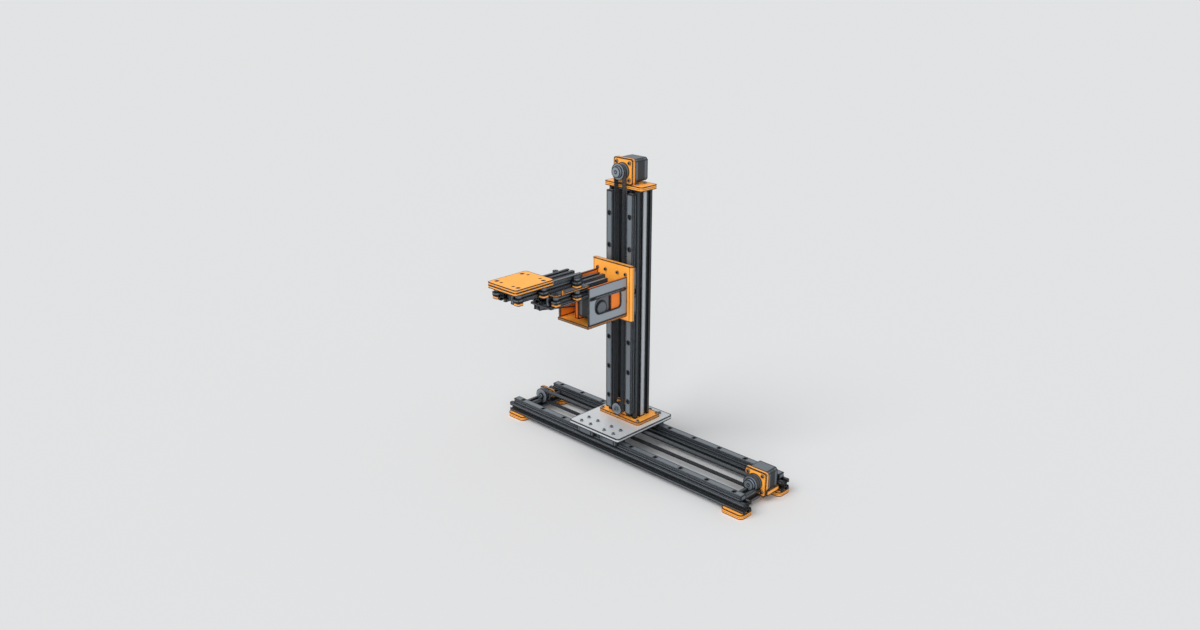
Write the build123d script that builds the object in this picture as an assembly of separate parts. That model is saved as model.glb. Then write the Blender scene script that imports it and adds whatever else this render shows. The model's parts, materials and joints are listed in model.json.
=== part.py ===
from build123d import *
import os
from math import atan2, cos, pi, sin, sqrt

# Three-axis retrieval mechanism: a belt-driven carriage on a floor frame, a mast on the carriage,
# a lift box on the mast and a two-stage telescopic arm with a tray.
# Frame: +Z up, X along the floor frame, the arm reaches out towards -Y.
# Origin: on the floor, in the middle of the four feet. Lengths are millimetres.

# T-slot extrusion profile
CELL = 20.0
CORNER_R = 1.0
SLOT_MOUTH = 6.0
SLOT_LIP = 1.8
SLOT_WIDTH = 11.0
SLOT_SHOULDER = 3.2
SLOT_DEPTH = 6.0
CORE_BORE = 4.2

# Linear rail and its blocks
RAIL_WIDTH = 15.0
RAIL_HEIGHT = 10.0
RAIL_PITCH = 60.0
RAIL_GROOVE = 1.1
RAIL_HOLE = 3.5
RAIL_SINK = 6.2
RAIL_SINK_DEPTH = 5.0
BLOCK_LENGTH = 42.0
BLOCK_WIDTH = 26.0
BLOCK_TOP = 9.6
BLOCK_FOOT = 4.0
BLOCK_BOLT_LONG = 24.0
BLOCK_BOLT_CROSS = 20.0
BLOCK_END_CAP = 6.0
SLIDE_GAP = 0.4

# Small screws
SCREW_R = 1.5
HEAD_R = 2.75
HEAD_H = 3.0
SOCKET_R = 1.35
SOCKET_DEPTH = 1.6
CLEAR_HOLE_R = 1.7
TAP_GAP = 0.05
PRESS_GAP = 0.02
SINK_GAP = 0.1
NUT_HALF = 4.0
NUT_THICK = 1.4

# Running and belt clearances
RUN_GAP = 0.05
BELT_GAP = 0.3
SIDE_GAP = 0.5

# Floor frame
FRAME_LENGTH = 600.0
RAIL_SPAN = 110.0
RAIL_LENGTH = FRAME_LENGTH - CELL
RAIL_HOLES = int(RAIL_LENGTH // RAIL_PITCH) + 1
CROSS_INSET = 27.0
CROSS_X = FRAME_LENGTH / 2 - CROSS_INSET
FOOT_LENGTH = 46.0
FOOT_WIDTH = 34.0
FOOT_HEIGHT = 8.0
FOOT_CORNER_R = 8.0
FOOT_HOLE_R = 2.75
FOOT_SCREW_X = 15.0

# Stepper motors
MOTOR_SIZE = 42.3
MOTOR_CORNER = 4.0
MOTOR_BOLT = 31.0
MOTOR_BOSS_R = 11.0
MOTOR_BOSS_H = 2.0
MOTOR_LONG = 34.0
MOTOR_SHORT = 28.0
MOTOR_TAP_DEPTH = 5.0
SHAFT_R = 2.5
SHAFT_DEPTH = 9.5
BRACKET_THICK = 8.0
BRACKET_WIDTH = 46.0
BRACKET_CORNER_R = 4.0
BRACKET_BORE_R = 12.0
BRACKET_PAD = 5.0
BRACKET_GAP = 1.0
BRACKET_TRIM = 1.0
REAR_BOSS_R = 12.5
REAR_BOSS_H = 3.0

# Floor drive
X_PULLEY_INSET = 32.0
X_PULLEY_X = FRAME_LENGTH / 2 - X_PULLEY_INSET
X_PULLEY_DRUM_R = 10.0
BELT_WIDTH = 10.0
BELT_THICK = 2.0
FLANGE_R = 15.5
FLANGE_THICK = 1.0
HUB_R = 10.0
HUB_LENGTH = 6.0
IDLER_HUB_R = 6.0
IDLER_AXLE_R = 2.5
IDLER_AXLE_HEAD_R = 4.4
IDLER_AXLE_HEAD = 3.0
IDLER_CHEEK = 6.0
IDLER_CHEEK_GAP = 2.0
IDLER_CHEEK_HALF = 19.0
IDLER_CHEEK_RISE = 12.8
IDLER_FOOT_LONG = 13.0
IDLER_FOOT_THICK = 4.0
AXLE_SOCKET_R = 2.1
AXLE_WALL = 1.0
TOOTH_PITCH = 3.0
TOOTH_R = 0.8
SLIM_TOOTH_PITCH = 2.0
SLIM_TOOTH_R = 0.55
RELIEF_GAP = 1.0
PAD_INSET = 3.0
RIB_THICK = 3.5
RIB_LOW = 3.0
RIB_HEIGHT = 10.0
MOTOR_RIB_GAP = 0.4

# X carriage
CARRIAGE_X = -48.0
PLATE_LENGTH = 130.0
PLATE_WIDTH = 154.0
PLATE_THICK = 7.0
PLATE_CORNER_R = 6.0
BLOCK_SPREAD = 60.0
CLAMP_HALF = 12.0
CLAMP_SIDE = 6.0
CLAMP_JAW = 3.0
CLAMP_SCREW_SIDE = 3.3
CLAMP_GAP = 0.4

# Mast
MAST_BASE_LENGTH = 103.0
MAST_BASE_FRONT = -8.0
MAST_BASE_BACK = 56.5
MAST_BASE_THICK = 6.0
COLUMN_SPAN = 50.0
COLUMN_FRONT = 2.0
COLUMN_HEIGHT = 444.0
MAST_RAIL_LIFT = 10.4
MAST_RAIL_SHORT = 5.6
MAST_RAIL_LENGTH = COLUMN_HEIGHT - MAST_RAIL_LIFT - MAST_RAIL_SHORT
MAST_RAIL_FIRST = 26.0
MAST_RAIL_HOLES = int((MAST_RAIL_LENGTH - MAST_RAIL_FIRST) // RAIL_PITCH) + 1
MAST_BOLT_INSET = 5.5
MAST_PLATE_TAP = 6.0
TOP_PLATE_LENGTH = 92.0
TOP_PLATE_THICK = 8.0
TOP_PLATE_FRONT = 0.0
TOP_PLATE_BACK = 43.0
SOFT_CORNER_R = 5.0
Z_BRACKET_FRONT = 1.0
Z_BRACKET_HEIGHT = 47.0
Z_MOTOR_LIFT = 24.0
Z_DRUM_R = 8.4
Z_IDLER_LIFT = 15.5
Z_IDLER_FLANGE_R = 12.0
Z_IDLER_HUB = 0.2
Z_HOLDER_THICK = 6.0
Z_HOLDER_RISE = 15.0
Z_HOLDER_FOOT = 28.0
Z_HOLDER_FOOT_THICK = 4.0
Z_HOLDER_SCREW_BACK = 20.0
Z_HOLDER_SCREW_SIDE = 8.0
Z_HOLDER_SIDE_GAP = 0.3

# Lift carriage and its box
LIFT_Z = 320.0
LIFT_WIDTH = 98.0
LIFT_BELOW = 52.0
LIFT_ABOVE = 53.0
LIFT_THICK = 10.0
LIFT_BLOCK_SPREAD = 50.0
BOX_WIDTH = 77.0
BOX_FRONT = -127.0
BOX_FLOOR_DROP = 42.0
FLOOR_THICK = 5.0
WALL_SETBACK = 2.5
WALL_HEIGHT = 70.5
LEFT_WALL_THICK = 4.0
RIGHT_WALL_THICK = 3.0
CHEEK_THICK = 3.0
CHEEK_GAP = 1.0
WINDOW_FRONT = -108.5
WINDOW_BACK = -43.0
WINDOW_LOW = 17.6
WINDOW_HIGH = 46.0
WINDOW_FRONT_R = 12.5
WINDOW_BACK_R = 6.0

# Telescopic arm
STAGE_DROP = 23.0
STAGE_THICK = 3.0
STAGE_EDGE = 12.0
STAGE_HALF = BOX_WIDTH / 2 - STAGE_EDGE
STAGE_FRONT = -203.6
STAGE_BACK = -31.0
RIGHT_TAB = (-108.0, -43.0)
RIGHT_SLOT = (-121.0, -31.0)
LEFT_TAB = (-43.0, -31.0)
TAB_GAP = 0.2
BEAM_FRONT = -201.0
BEAM_BACK = -44.0
GUIDE_BACK = -58.0
GUIDE_WIDTH = 8.0
GUIDE_GROOVE = 2.2
GUIDE_LINE = 0.8
GUIDE_LINE_OFF = 6.5
BEAM_WIDTH = 40.0
SHOE_GAP = 0.3
SHOE_WIDTH = 13.0
SHOE_LENGTH = 12.5
SHOE_PAD = 5.0
SHOE_POST_R = 5.2
SHOE_SPIGOT_R = 3.0
SHOE_RIDGE = 1.6
SHOE_CORNER_R = 3.0
SHOE_TAP = 8.0
MID_SHOE_LIFT = 1.5
TRAY_SHOE_LIFT = 0.6
LAYER_GAP = 0.4
MID_PLATE_HALF = 34.0
MID_PLATE_THICK = 3.5
MID_FRONT = -200.0
MID_BACK = -118.0
MID_SLOT_BACK = -135.0
MID_BEAM_FRONT = -280.0
MID_BEAM_BACK = -121.0
MID_SHOES_Y = (-192.0, -142.0)
MID_HOLDER_DROP = 1.0
FLAG_Y = -184.0
FLAG_THICK = 3.0
FLAG_IN = -13.6
FLAG_OUT = -8.4
FLAG_LOW = 0.6
FLAG_HIGH = 12.0
TRAY_FRONT = -290.0
TRAY_BACK = -203.0
TRAY_HALF = 36.0
TRAY_LAYER = 5.1
TRAY_SHOES_Y = (-276.0, -220.0)
TRAY_BOLT_X = 30.0
TRAY_BOLT_Y = 60.0
TRAY_BOLT_R = 1.65
SLIM_BELT_WIDTH = 6.0
SLIM_BELT_THICK = 1.2
ARM_MOTOR_Y = -88.0
ARM_MOTOR_Z_DROP = 11.5
ARM_BELT_GAP = 9.0
ARM_DRUM_R = 8.0
ARM_DRUM_FLANGE = 2.5
ARM_HUB_R = 7.0
ARM_HUB_LENGTH = 2.5
ARM_BRACKET_CORNER_R = 2.0
ARM_IDLER_DRUM_R = 4.5
ARM_IDLER_FLANGE = 1.6
ARM_IDLER_DROP = 8.0
ARM_IDLERS_Y = (-189.0, -50.0)
ARM_HOLDER_THICK = 1.5
ARM_HOLDER_HALF = 6.0
ARM_CHEEK = 2.0
ARM_CLAMP_Y = -166.0
ARM_CLAMP_HALF = 6.0
ARM_CLAMP_GAP = 1.0
ARM_CLAMP_ARM = 5.0
ARM_CLAMP_JAW = 4.5
ARM_CLAMP_LIP = 1.1
MID_IDLER_DRUM_R = 6.0
MID_IDLERS_Y = (-270.0, -128.5)
ANCHOR_Y = -142.0
ANCHOR_HALF = 5.0
TRAY_CLAMP_Y = -245.0
SLIM_JAW = 2.2
SLIM_FLANGE = 2.0
TRAY_SINK = 3.2
PIN_R = 2.0
PIN_HOLD = 6.0
PIN_WALL = 1.0

# Heights and places that follow
FRAME_TOP = FOOT_HEIGHT + CELL
RAIL_TOP = FRAME_TOP + RAIL_HEIGHT
RAIL_SCREW = RAIL_HEIGHT - RAIL_SINK_DEPTH + SLOT_LIP + NUT_THICK
PLATE_BOTTOM = RAIL_TOP + BLOCK_TOP
PLATE_TOP = PLATE_BOTTOM + PLATE_THICK
MAST_FOOT = PLATE_TOP + MAST_BASE_THICK
MAST_HEAD = MAST_FOOT + COLUMN_HEIGHT
TOP_PLATE_TOP = MAST_HEAD + TOP_PLATE_THICK
MAST_RAIL_FACE = COLUMN_FRONT - RAIL_HEIGHT
LIFT_BACK = MAST_RAIL_FACE - BLOCK_TOP
LIFT_FRONT = LIFT_BACK - LIFT_THICK
X_AXLE_Z = FRAME_TOP + 4.5
BELT_HALF = BELT_WIDTH / 2
FLANGE_OUT = BELT_HALF + SIDE_GAP + FLANGE_THICK
Z_BELT_Y = Z_BRACKET_FRONT - SIDE_GAP - FLANGE_OUT
Z_AXLE_Z = TOP_PLATE_TOP + Z_MOTOR_LIFT
Z_IDLER_Z = MAST_FOOT + Z_IDLER_LIFT
FLOOR_BOTTOM = LIFT_Z - BOX_FLOOR_DROP
FLOOR_TOP = FLOOR_BOTTOM + FLOOR_THICK
WALL_TOP = FLOOR_TOP + WALL_HEIGHT
STAGE_BOTTOM = WALL_TOP - STAGE_DROP
STAGE_TOP = STAGE_BOTTOM + STAGE_THICK
BEAM_TOP = STAGE_TOP + CELL
MID_BOTTOM = BEAM_TOP + LAYER_GAP
MID_TOP = MID_BOTTOM + MID_PLATE_THICK
MID_BEAM_TOP = MID_TOP + CELL
TRAY_BOTTOM = MID_BEAM_TOP + LAYER_GAP
BEAM_LEFT = CARRIAGE_X - BEAM_WIDTH / 2
BEAM_RIGHT = CARRIAGE_X + BEAM_WIDTH / 2
GAP_LEFT = BEAM_LEFT + CELL
GAP_RIGHT = BEAM_RIGHT - GUIDE_WIDTH
GAP_MIDDLE = (GAP_LEFT + GAP_RIGHT) / 2
BOX_LEFT = CARRIAGE_X - BOX_WIDTH / 2
BOX_RIGHT = CARRIAGE_X + BOX_WIDTH / 2
ARM_MOTOR_X = BOX_RIGHT - RIGHT_WALL_THICK - SIDE_GAP - REAR_BOSS_H - MOTOR_LONG
ARM_BELT_X = ARM_MOTOR_X - BRACKET_THICK - ARM_BELT_GAP
ARM_MOTOR_Z = LIFT_Z - ARM_MOTOR_Z_DROP
ARM_IDLER_Z = STAGE_BOTTOM - ARM_IDLER_DROP
SLIM_FLANGE_OUT = SLIM_BELT_WIDTH / 2 + SIDE_GAP + FLANGE_THICK
MID_AXLE_Z = (MID_TOP + TRAY_BOTTOM) / 2
SHOE_OFF = BEAM_WIDTH / 2 + SHOE_GAP + SHOE_WIDTH / 2


def box(x0, x1, y0, y1, z0, z1):
    """A plain block between two corners."""
    middle = ((x0 + x1) / 2, (y0 + y1) / 2, (z0 + z1) / 2)
    return Pos(*middle) * Box(abs(x1 - x0), abs(y1 - y0), abs(z1 - z0))


def rod(axis, centre, radius, start, end):
    """A cylinder along X, Y or Z; centre gives its place across, in axis order."""
    length = end - start
    half = (start + end) / 2
    a, b = centre
    if axis == "X":
        return Pos(half, a, b) * Rot(0, 90, 0) * Cylinder(radius, length)
    if axis == "Y":
        return Pos(a, half, b) * Rot(90, 0, 0) * Cylinder(radius, length)
    return Pos(a, b, half) * Cylinder(radius, length)


def upright_slab(x0, x1, y0, y1, z0, z1, corner, axis):
    """A plate whose corners are rounded about the given axis."""
    solid = box(x0, x1, y0, y1, z0, z1)
    edges = solid.edges().filter_by({"X": Axis.X, "Y": Axis.Y, "Z": Axis.Z}[axis])
    return fillet(edges, corner)


def t_slot(turn, x, y):
    """One T-slot, opening outwards at (x, y)."""
    mouth = SLOT_MOUTH / 2
    wide = SLOT_WIDTH / 2
    shape = Polygon(
        (-mouth, 1), (-mouth, -SLOT_LIP), (-wide, -SLOT_LIP), (-wide, -SLOT_SHOULDER),
        (-mouth, -SLOT_DEPTH), (mouth, -SLOT_DEPTH), (wide, -SLOT_SHOULDER),
        (wide, -SLOT_LIP), (mouth, -SLOT_LIP), (mouth, 1), align=None)
    return Pos(x, y) * Rot(0, 0, turn) * shape


def extrusion_profile(cells):
    """The section of a T-slot extrusion, one cell high and some cells wide."""
    width = CELL * cells
    profile = RectangleRounded(width, CELL, CORNER_R)
    for index in range(cells):
        across = (index - (cells - 1) / 2) * CELL
        profile -= t_slot(0, across, CELL / 2)
        profile -= t_slot(180, across, -CELL / 2)
        profile -= Pos(across, 0) * Circle(CORE_BORE / 2)
    profile -= t_slot(-90, width / 2, 0)
    profile -= t_slot(90, -width / 2, 0)
    return profile


def extrusion(plane, length, cells=1):
    """A T-slot extrusion that starts on a plane and runs along its normal."""
    return plane * extrude(extrusion_profile(cells), length)


def along_x(x, y, z):
    return Plane(origin=(x, y, z), x_dir=(0, 1, 0), z_dir=(1, 0, 0))


def along_y(x, y, z):
    return Plane(origin=(x, y, z), x_dir=(-1, 0, 0), z_dir=(0, 1, 0))


def along_z(x, y, z):
    return Plane(origin=(x, y, z), x_dir=(0, 1, 0), z_dir=(0, 0, 1))


def rail(length, first, holes):
    """A linear rail along local X on local Z zero, with its counterbored holes."""
    half = RAIL_WIDTH / 2
    waist = half - RAIL_GROOVE
    low = RAIL_HEIGHT * 0.42
    high = RAIL_HEIGHT * 0.8
    right = [(half, 0), (half, low), (waist, low + 0.8), (waist, high - 0.8),
             (half, high), (half, RAIL_HEIGHT - 0.5), (half - 0.5, RAIL_HEIGHT)]
    left = [(-y, z) for y, z in reversed(right)]
    section = Polygon(*right, *left, align=None)
    solid = Plane(origin=(0, 0, 0), x_dir=(0, 1, 0), z_dir=(1, 0, 0)) * extrude(section, length)
    for index in range(holes):
        x = first + RAIL_PITCH * index
        solid -= rod("Z", (x, 0), RAIL_HOLE / 2, 0, RAIL_HEIGHT)
        solid -= rod("Z", (x, 0), RAIL_SINK / 2, RAIL_HEIGHT - RAIL_SINK_DEPTH, RAIL_HEIGHT)
    return solid


def rail_block():
    """A rail block round local origin, above a rail that runs along local X."""
    top = RAIL_HEIGHT + BLOCK_TOP
    half = BLOCK_WIDTH / 2
    body = box(-BLOCK_LENGTH / 2, BLOCK_LENGTH / 2, -half, half, BLOCK_FOOT, top)
    body = chamfer(body.edges().filter_by(Axis.X).group_by(Axis.Z)[-1], 1.0)
    cap = BLOCK_LENGTH / 2 - BLOCK_END_CAP
    for side in (-1, 1):
        for edge in (-1, 1):
            start = side * cap
            end = side * (BLOCK_LENGTH / 2 + 1)
            outer = edge * (half + 1)
            inner = edge * (half - 0.6)
            body -= box(start, end, inner, outer, BLOCK_FOOT - 1, top + 1)
        body -= box(side * cap, side * (BLOCK_LENGTH / 2 + 1), -half, half, top - 0.6, top + 1)
    channel = RAIL_WIDTH / 2 + SLIDE_GAP
    body -= box(-BLOCK_LENGTH, BLOCK_LENGTH, -channel, channel, 0, RAIL_HEIGHT + SLIDE_GAP)
    for x in (-BLOCK_BOLT_LONG / 2, BLOCK_BOLT_LONG / 2):
        for y in (-BLOCK_BOLT_CROSS / 2, BLOCK_BOLT_CROSS / 2):
            body -= rod("Z", (x, y), SCREW_R + TAP_GAP, top - 6, top + 1)
    return body


def cap_screw(length):
    """A socket head screw: the head's seat is on local Z zero, the shank points down."""
    head = Pos(0, 0, HEAD_H / 2) * Cylinder(HEAD_R, HEAD_H)
    head = chamfer(head.edges().group_by(Axis.Z)[-1], 0.4)
    socket = extrude(Pos(0, 0, HEAD_H) * RegularPolygon(SOCKET_R, 6), -SOCKET_DEPTH)
    shank = Pos(0, 0, -length / 2) * Cylinder(SCREW_R, length)
    return head + shank - socket


def flush_screw(length):
    """A countersunk screw whose flat head ends on local Z zero."""
    head = Pos(0, 0, -HEAD_H / 4) * Cylinder(HEAD_R, HEAD_H / 2)
    socket = extrude(RegularPolygon(SOCKET_R, 6), -SOCKET_DEPTH / 2)
    shank = Pos(0, 0, -length / 2) * Cylinder(SCREW_R, length)
    return head + shank - socket


def axle_screw(length):
    """A shoulder screw for an idler: the head's seat is on local Z zero, the shank points down."""
    head = Pos(0, 0, IDLER_AXLE_HEAD / 2) * Cylinder(IDLER_AXLE_HEAD_R, IDLER_AXLE_HEAD)
    socket = extrude(Pos(0, 0, IDLER_AXLE_HEAD) * RegularPolygon(AXLE_SOCKET_R, 6), -SOCKET_DEPTH)
    shank = Pos(0, 0, -length / 2) * Cylinder(IDLER_AXLE_R, length)
    return head + shank - socket


def slot_nut():
    """A square nut whose top bears on local Z zero, under a slot's lips."""
    nut = box(-NUT_HALF, NUT_HALF, -NUT_HALF, NUT_HALF, -NUT_THICK, 0)
    return nut - Cylinder(SCREW_R + TAP_GAP, 4 * NUT_THICK)


UP = (0, 0, 1)
DOWN = (0, 0, -1)
FRONT = (0, -1, 0)
LEFT = (-1, 0, 0)


def place(solid, point, out, along=(1, 0, 0)):
    """Put a solid so that its local Z points out and its local X points along."""
    return Plane(origin=point, x_dir=along, z_dir=out) * solid


def set_of(solid, points, out, along=(1, 0, 0)):
    return [place(solid, point, out, along) for point in points]


def drill(part, points, axis, radius, start, end):
    """Cut round holes through a part at points given across the axis."""
    for point in points:
        part -= rod(axis, point, radius, start, end)
    return part


def grid(x, y, spacing_x, spacing_y):
    half_x = spacing_x / 2
    half_y = spacing_y / 2
    return [(x + i * half_x, y + j * half_y) for i in (-1, 1) for j in (-1, 1)]


def pulley(drum_r, flange_r, width, bore_r, hub_r, hub, pitch=TOOTH_PITCH, tooth_r=TOOTH_R):
    """A toothed pulley round local Z, its belt centred on zero, its hub towards +Z."""
    face = width / 2 + SIDE_GAP
    teeth = int(round(2 * pi * drum_r / pitch))
    drum = Circle(drum_r)
    for index in range(teeth):
        angle = 2 * pi * index / teeth
        drum -= Pos(drum_r * cos(angle), drum_r * sin(angle)) * Circle(tooth_r)
    solid = extrude(Pos(0, 0, -face) * drum, 2 * face)
    for side in (-1, 1):
        middle = side * (face + FLANGE_THICK / 2)
        solid += Pos(0, 0, middle) * Cylinder(flange_r, FLANGE_THICK)
    out = face + FLANGE_THICK
    solid += Pos(0, 0, out + hub / 2) * Cylinder(hub_r, hub)
    return solid - Cylinder(bore_r, 4 * (out + hub))


def belt_loop(circles, thick, width):
    """A closed belt round some circles, given anticlockwise as (across, up, inner radius)."""
    def outline(extra):
        grown = [(x, y, r + extra) for x, y, r in circles]
        points = []
        for here, there in zip(grown, grown[1:] + grown[:1]):
            heading = atan2(there[1] - here[1], there[0] - here[0])
            distance = sqrt((there[0] - here[0]) ** 2 + (there[1] - here[1]) ** 2)
            side = heading - pi / 2 - asin_ratio(there[2] - here[2], distance)
            for x, y, r in (here, there):
                points.append((x + r * cos(side), y + r * sin(side), side))
        edges = []
        count = len(grown)
        for index in range(count):
            start = points[2 * index]
            end = points[2 * index + 1]
            edges.append(Line(start[:2], end[:2]))
            x, y, r = grown[(index + 1) % count]
            after = points[(2 * index + 2) % (2 * count)]
            turn = (after[2] - end[2]) % (2 * pi)
            middle = end[2] + turn / 2
            edges.append(ThreePointArc(end[:2], (x + r * cos(middle), y + r * sin(middle)), after[:2]))
        return Face(Wire(edges))
    outer = extrude(outline(thick), width / 2, both=True)
    return outer - extrude(outline(0), width, both=True)


def asin_ratio(difference, distance):
    """Angle by which a tangent line leans when two circles differ in size."""
    ratio = difference / distance
    return atan2(ratio, sqrt(1 - ratio * ratio))


def motor(length, rear=0):
    """A square stepper motor: front face on local Z zero, shaft towards +Z, body below."""
    half = MOTOR_SIZE / 2
    body = box(-half, half, -half, half, -length, 0)
    body = chamfer(body.edges().filter_by(Axis.Z), MOTOR_CORNER)
    body += Pos(0, 0, MOTOR_BOSS_H / 2) * Cylinder(MOTOR_BOSS_R, MOTOR_BOSS_H)
    if rear:
        body += Pos(0, 0, -length - rear / 2) * Cylinder(REAR_BOSS_R, rear)
    body -= rod("Z", (0, 0), SHAFT_R + RUN_GAP, -SHAFT_DEPTH - SIDE_GAP, MOTOR_BOSS_H + 1)
    for point in grid(0, 0, MOTOR_BOLT, MOTOR_BOLT):
        body -= rod("Z", point, SCREW_R + TAP_GAP, -MOTOR_TAP_DEPTH, 1)
    return body


def motor_shaft(front):
    """A shaft that starts inside the motor and ends at a height above its face."""
    return rod("Z", (0, 0), SHAFT_R, -SHAFT_DEPTH, front)


os.makedirs("parts", exist_ok=True)


def save(name, *solids):
    """Write one node; several solids stay separate in it."""
    pieces = []
    for solid in solids:
        pieces += list(solid) if isinstance(solid, list) else [solid]
    found = [body for piece in pieces for body in piece.solids()]
    shape = found[0] if len(found) == 1 else Compound(children=found)
    export_step(shape, f"parts/{name}.step")


# Floor frame
def floor_frame():
    half = FRAME_LENGTH / 2
    side = RAIL_SPAN / 2
    axle_z = FOOT_HEIGHT + CELL / 2
    long_bars = [extrusion(along_x(-half, y, axle_z), FRAME_LENGTH) for y in (-side, side)]
    inner = side - CELL / 2
    relief_r = FLANGE_R + RELIEF_GAP
    relief_y = FLANGE_OUT + IDLER_CHEEK_GAP
    left = extrusion(along_y(-CROSS_X, -inner, axle_z), 2 * inner)
    left -= rod("Y", (-X_PULLEY_X, X_AXLE_Z), relief_r, -relief_y, relief_y)
    right_end = FLANGE_OUT + BRACKET_GAP - BRACKET_PAD
    right = extrusion(along_y(CROSS_X, -inner, axle_z), inner + right_end)
    right -= rod("Y", (X_PULLEY_X, X_AXLE_Z), relief_r, -relief_y, relief_y)
    hub_end = FLANGE_OUT + HUB_LENGTH + 2 * RELIEF_GAP
    right -= rod("Y", (X_PULLEY_X, X_AXLE_Z), HUB_R + RELIEF_GAP, -hub_end, 0)
    feet_x = half - FOOT_LENGTH / 2
    foot = upright_slab(-FOOT_LENGTH / 2, FOOT_LENGTH / 2, -FOOT_WIDTH / 2, FOOT_WIDTH / 2,
                        0, FOOT_HEIGHT, FOOT_CORNER_R, "Z")
    foot -= rod("Z", (0, 0), FOOT_HOLE_R, -1, FOOT_HEIGHT + 1)
    foot = drill(foot, [(-FOOT_SCREW_X, 0), (FOOT_SCREW_X, 0)], "Z", HEAD_R + SINK_GAP,
                 -1, FOOT_HEIGHT / 2)
    foot = drill(foot, [(-FOOT_SCREW_X, 0), (FOOT_SCREW_X, 0)], "Z", CLEAR_HOLE_R,
                 -1, FOOT_HEIGHT + 1)
    centres = [(x, y) for x in (-feet_x, feet_x) for y in (-side, side)]
    feet = [Pos(x, y, 0) * foot for x, y in centres]
    spots = [(x + step, y) for x, y in centres for step in (-FOOT_SCREW_X, FOOT_SCREW_X)]
    screw = cap_screw(FOOT_HEIGHT / 2 + SLOT_LIP + NUT_THICK)
    holders = set_of(screw, [(x, y, FOOT_HEIGHT / 2) for x, y in spots], DOWN)
    holders += set_of(slot_nut(), [(x, y, FOOT_HEIGHT + SLOT_LIP) for x, y in spots], DOWN)
    bare = rail(RAIL_LENGTH, (RAIL_LENGTH - RAIL_PITCH * (RAIL_HOLES - 1)) / 2, RAIL_HOLES)
    rails = [Pos(-RAIL_LENGTH / 2, y, FRAME_TOP) * bare for y in (-side, side)]
    first = -RAIL_PITCH * (RAIL_HOLES - 1) / 2
    seat = RAIL_TOP - RAIL_SINK_DEPTH
    spots = [(first + RAIL_PITCH * i, y, seat) for i in range(RAIL_HOLES) for y in (-side, side)]
    rail_screws = set_of(cap_screw(RAIL_SCREW), spots, UP)
    rail_screws += set_of(slot_nut(), [(x, y, FRAME_TOP - SLOT_LIP) for x, y, z in spots], UP)
    save("long_extrusions", long_bars)
    save("left_cross_extrusion", left)
    save("right_cross_extrusion", right)
    save("feet", feet)
    save("base_rails", rails)
    return holders + rail_screws


IN_XZ = Plane(origin=(0, 0, 0), x_dir=(1, 0, 0), z_dir=(0, -1, 0))
IN_YZ = Plane(origin=(0, 0, 0), x_dir=(0, 1, 0), z_dir=(1, 0, 0))


def bracket_plate(y0, y1, x, z0, z1, axle_z):
    """A motor plate across Y, with its bore and four screw holes."""
    half = BRACKET_WIDTH / 2
    plate = upright_slab(x - half, x + half, y0, y1, z0, z1, BRACKET_CORNER_R, "Y")
    plate -= rod("Y", (x, axle_z), BRACKET_BORE_R, y0 - 1, y1 + 1)
    return drill(plate, grid(x, axle_z, MOTOR_BOLT, MOTOR_BOLT), "Y", CLEAR_HOLE_R, y0 - 1, y1 + 1)


def motor_screws(x, y, z):
    """Four screws through a motor plate whose front is at y."""
    points = [(px, y, pz) for px, pz in grid(x, z, MOTOR_BOLT, MOTOR_BOLT)]
    return set_of(cap_screw(BRACKET_THICK + MOTOR_TAP_DEPTH - 0.5), points, FRONT)


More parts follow.
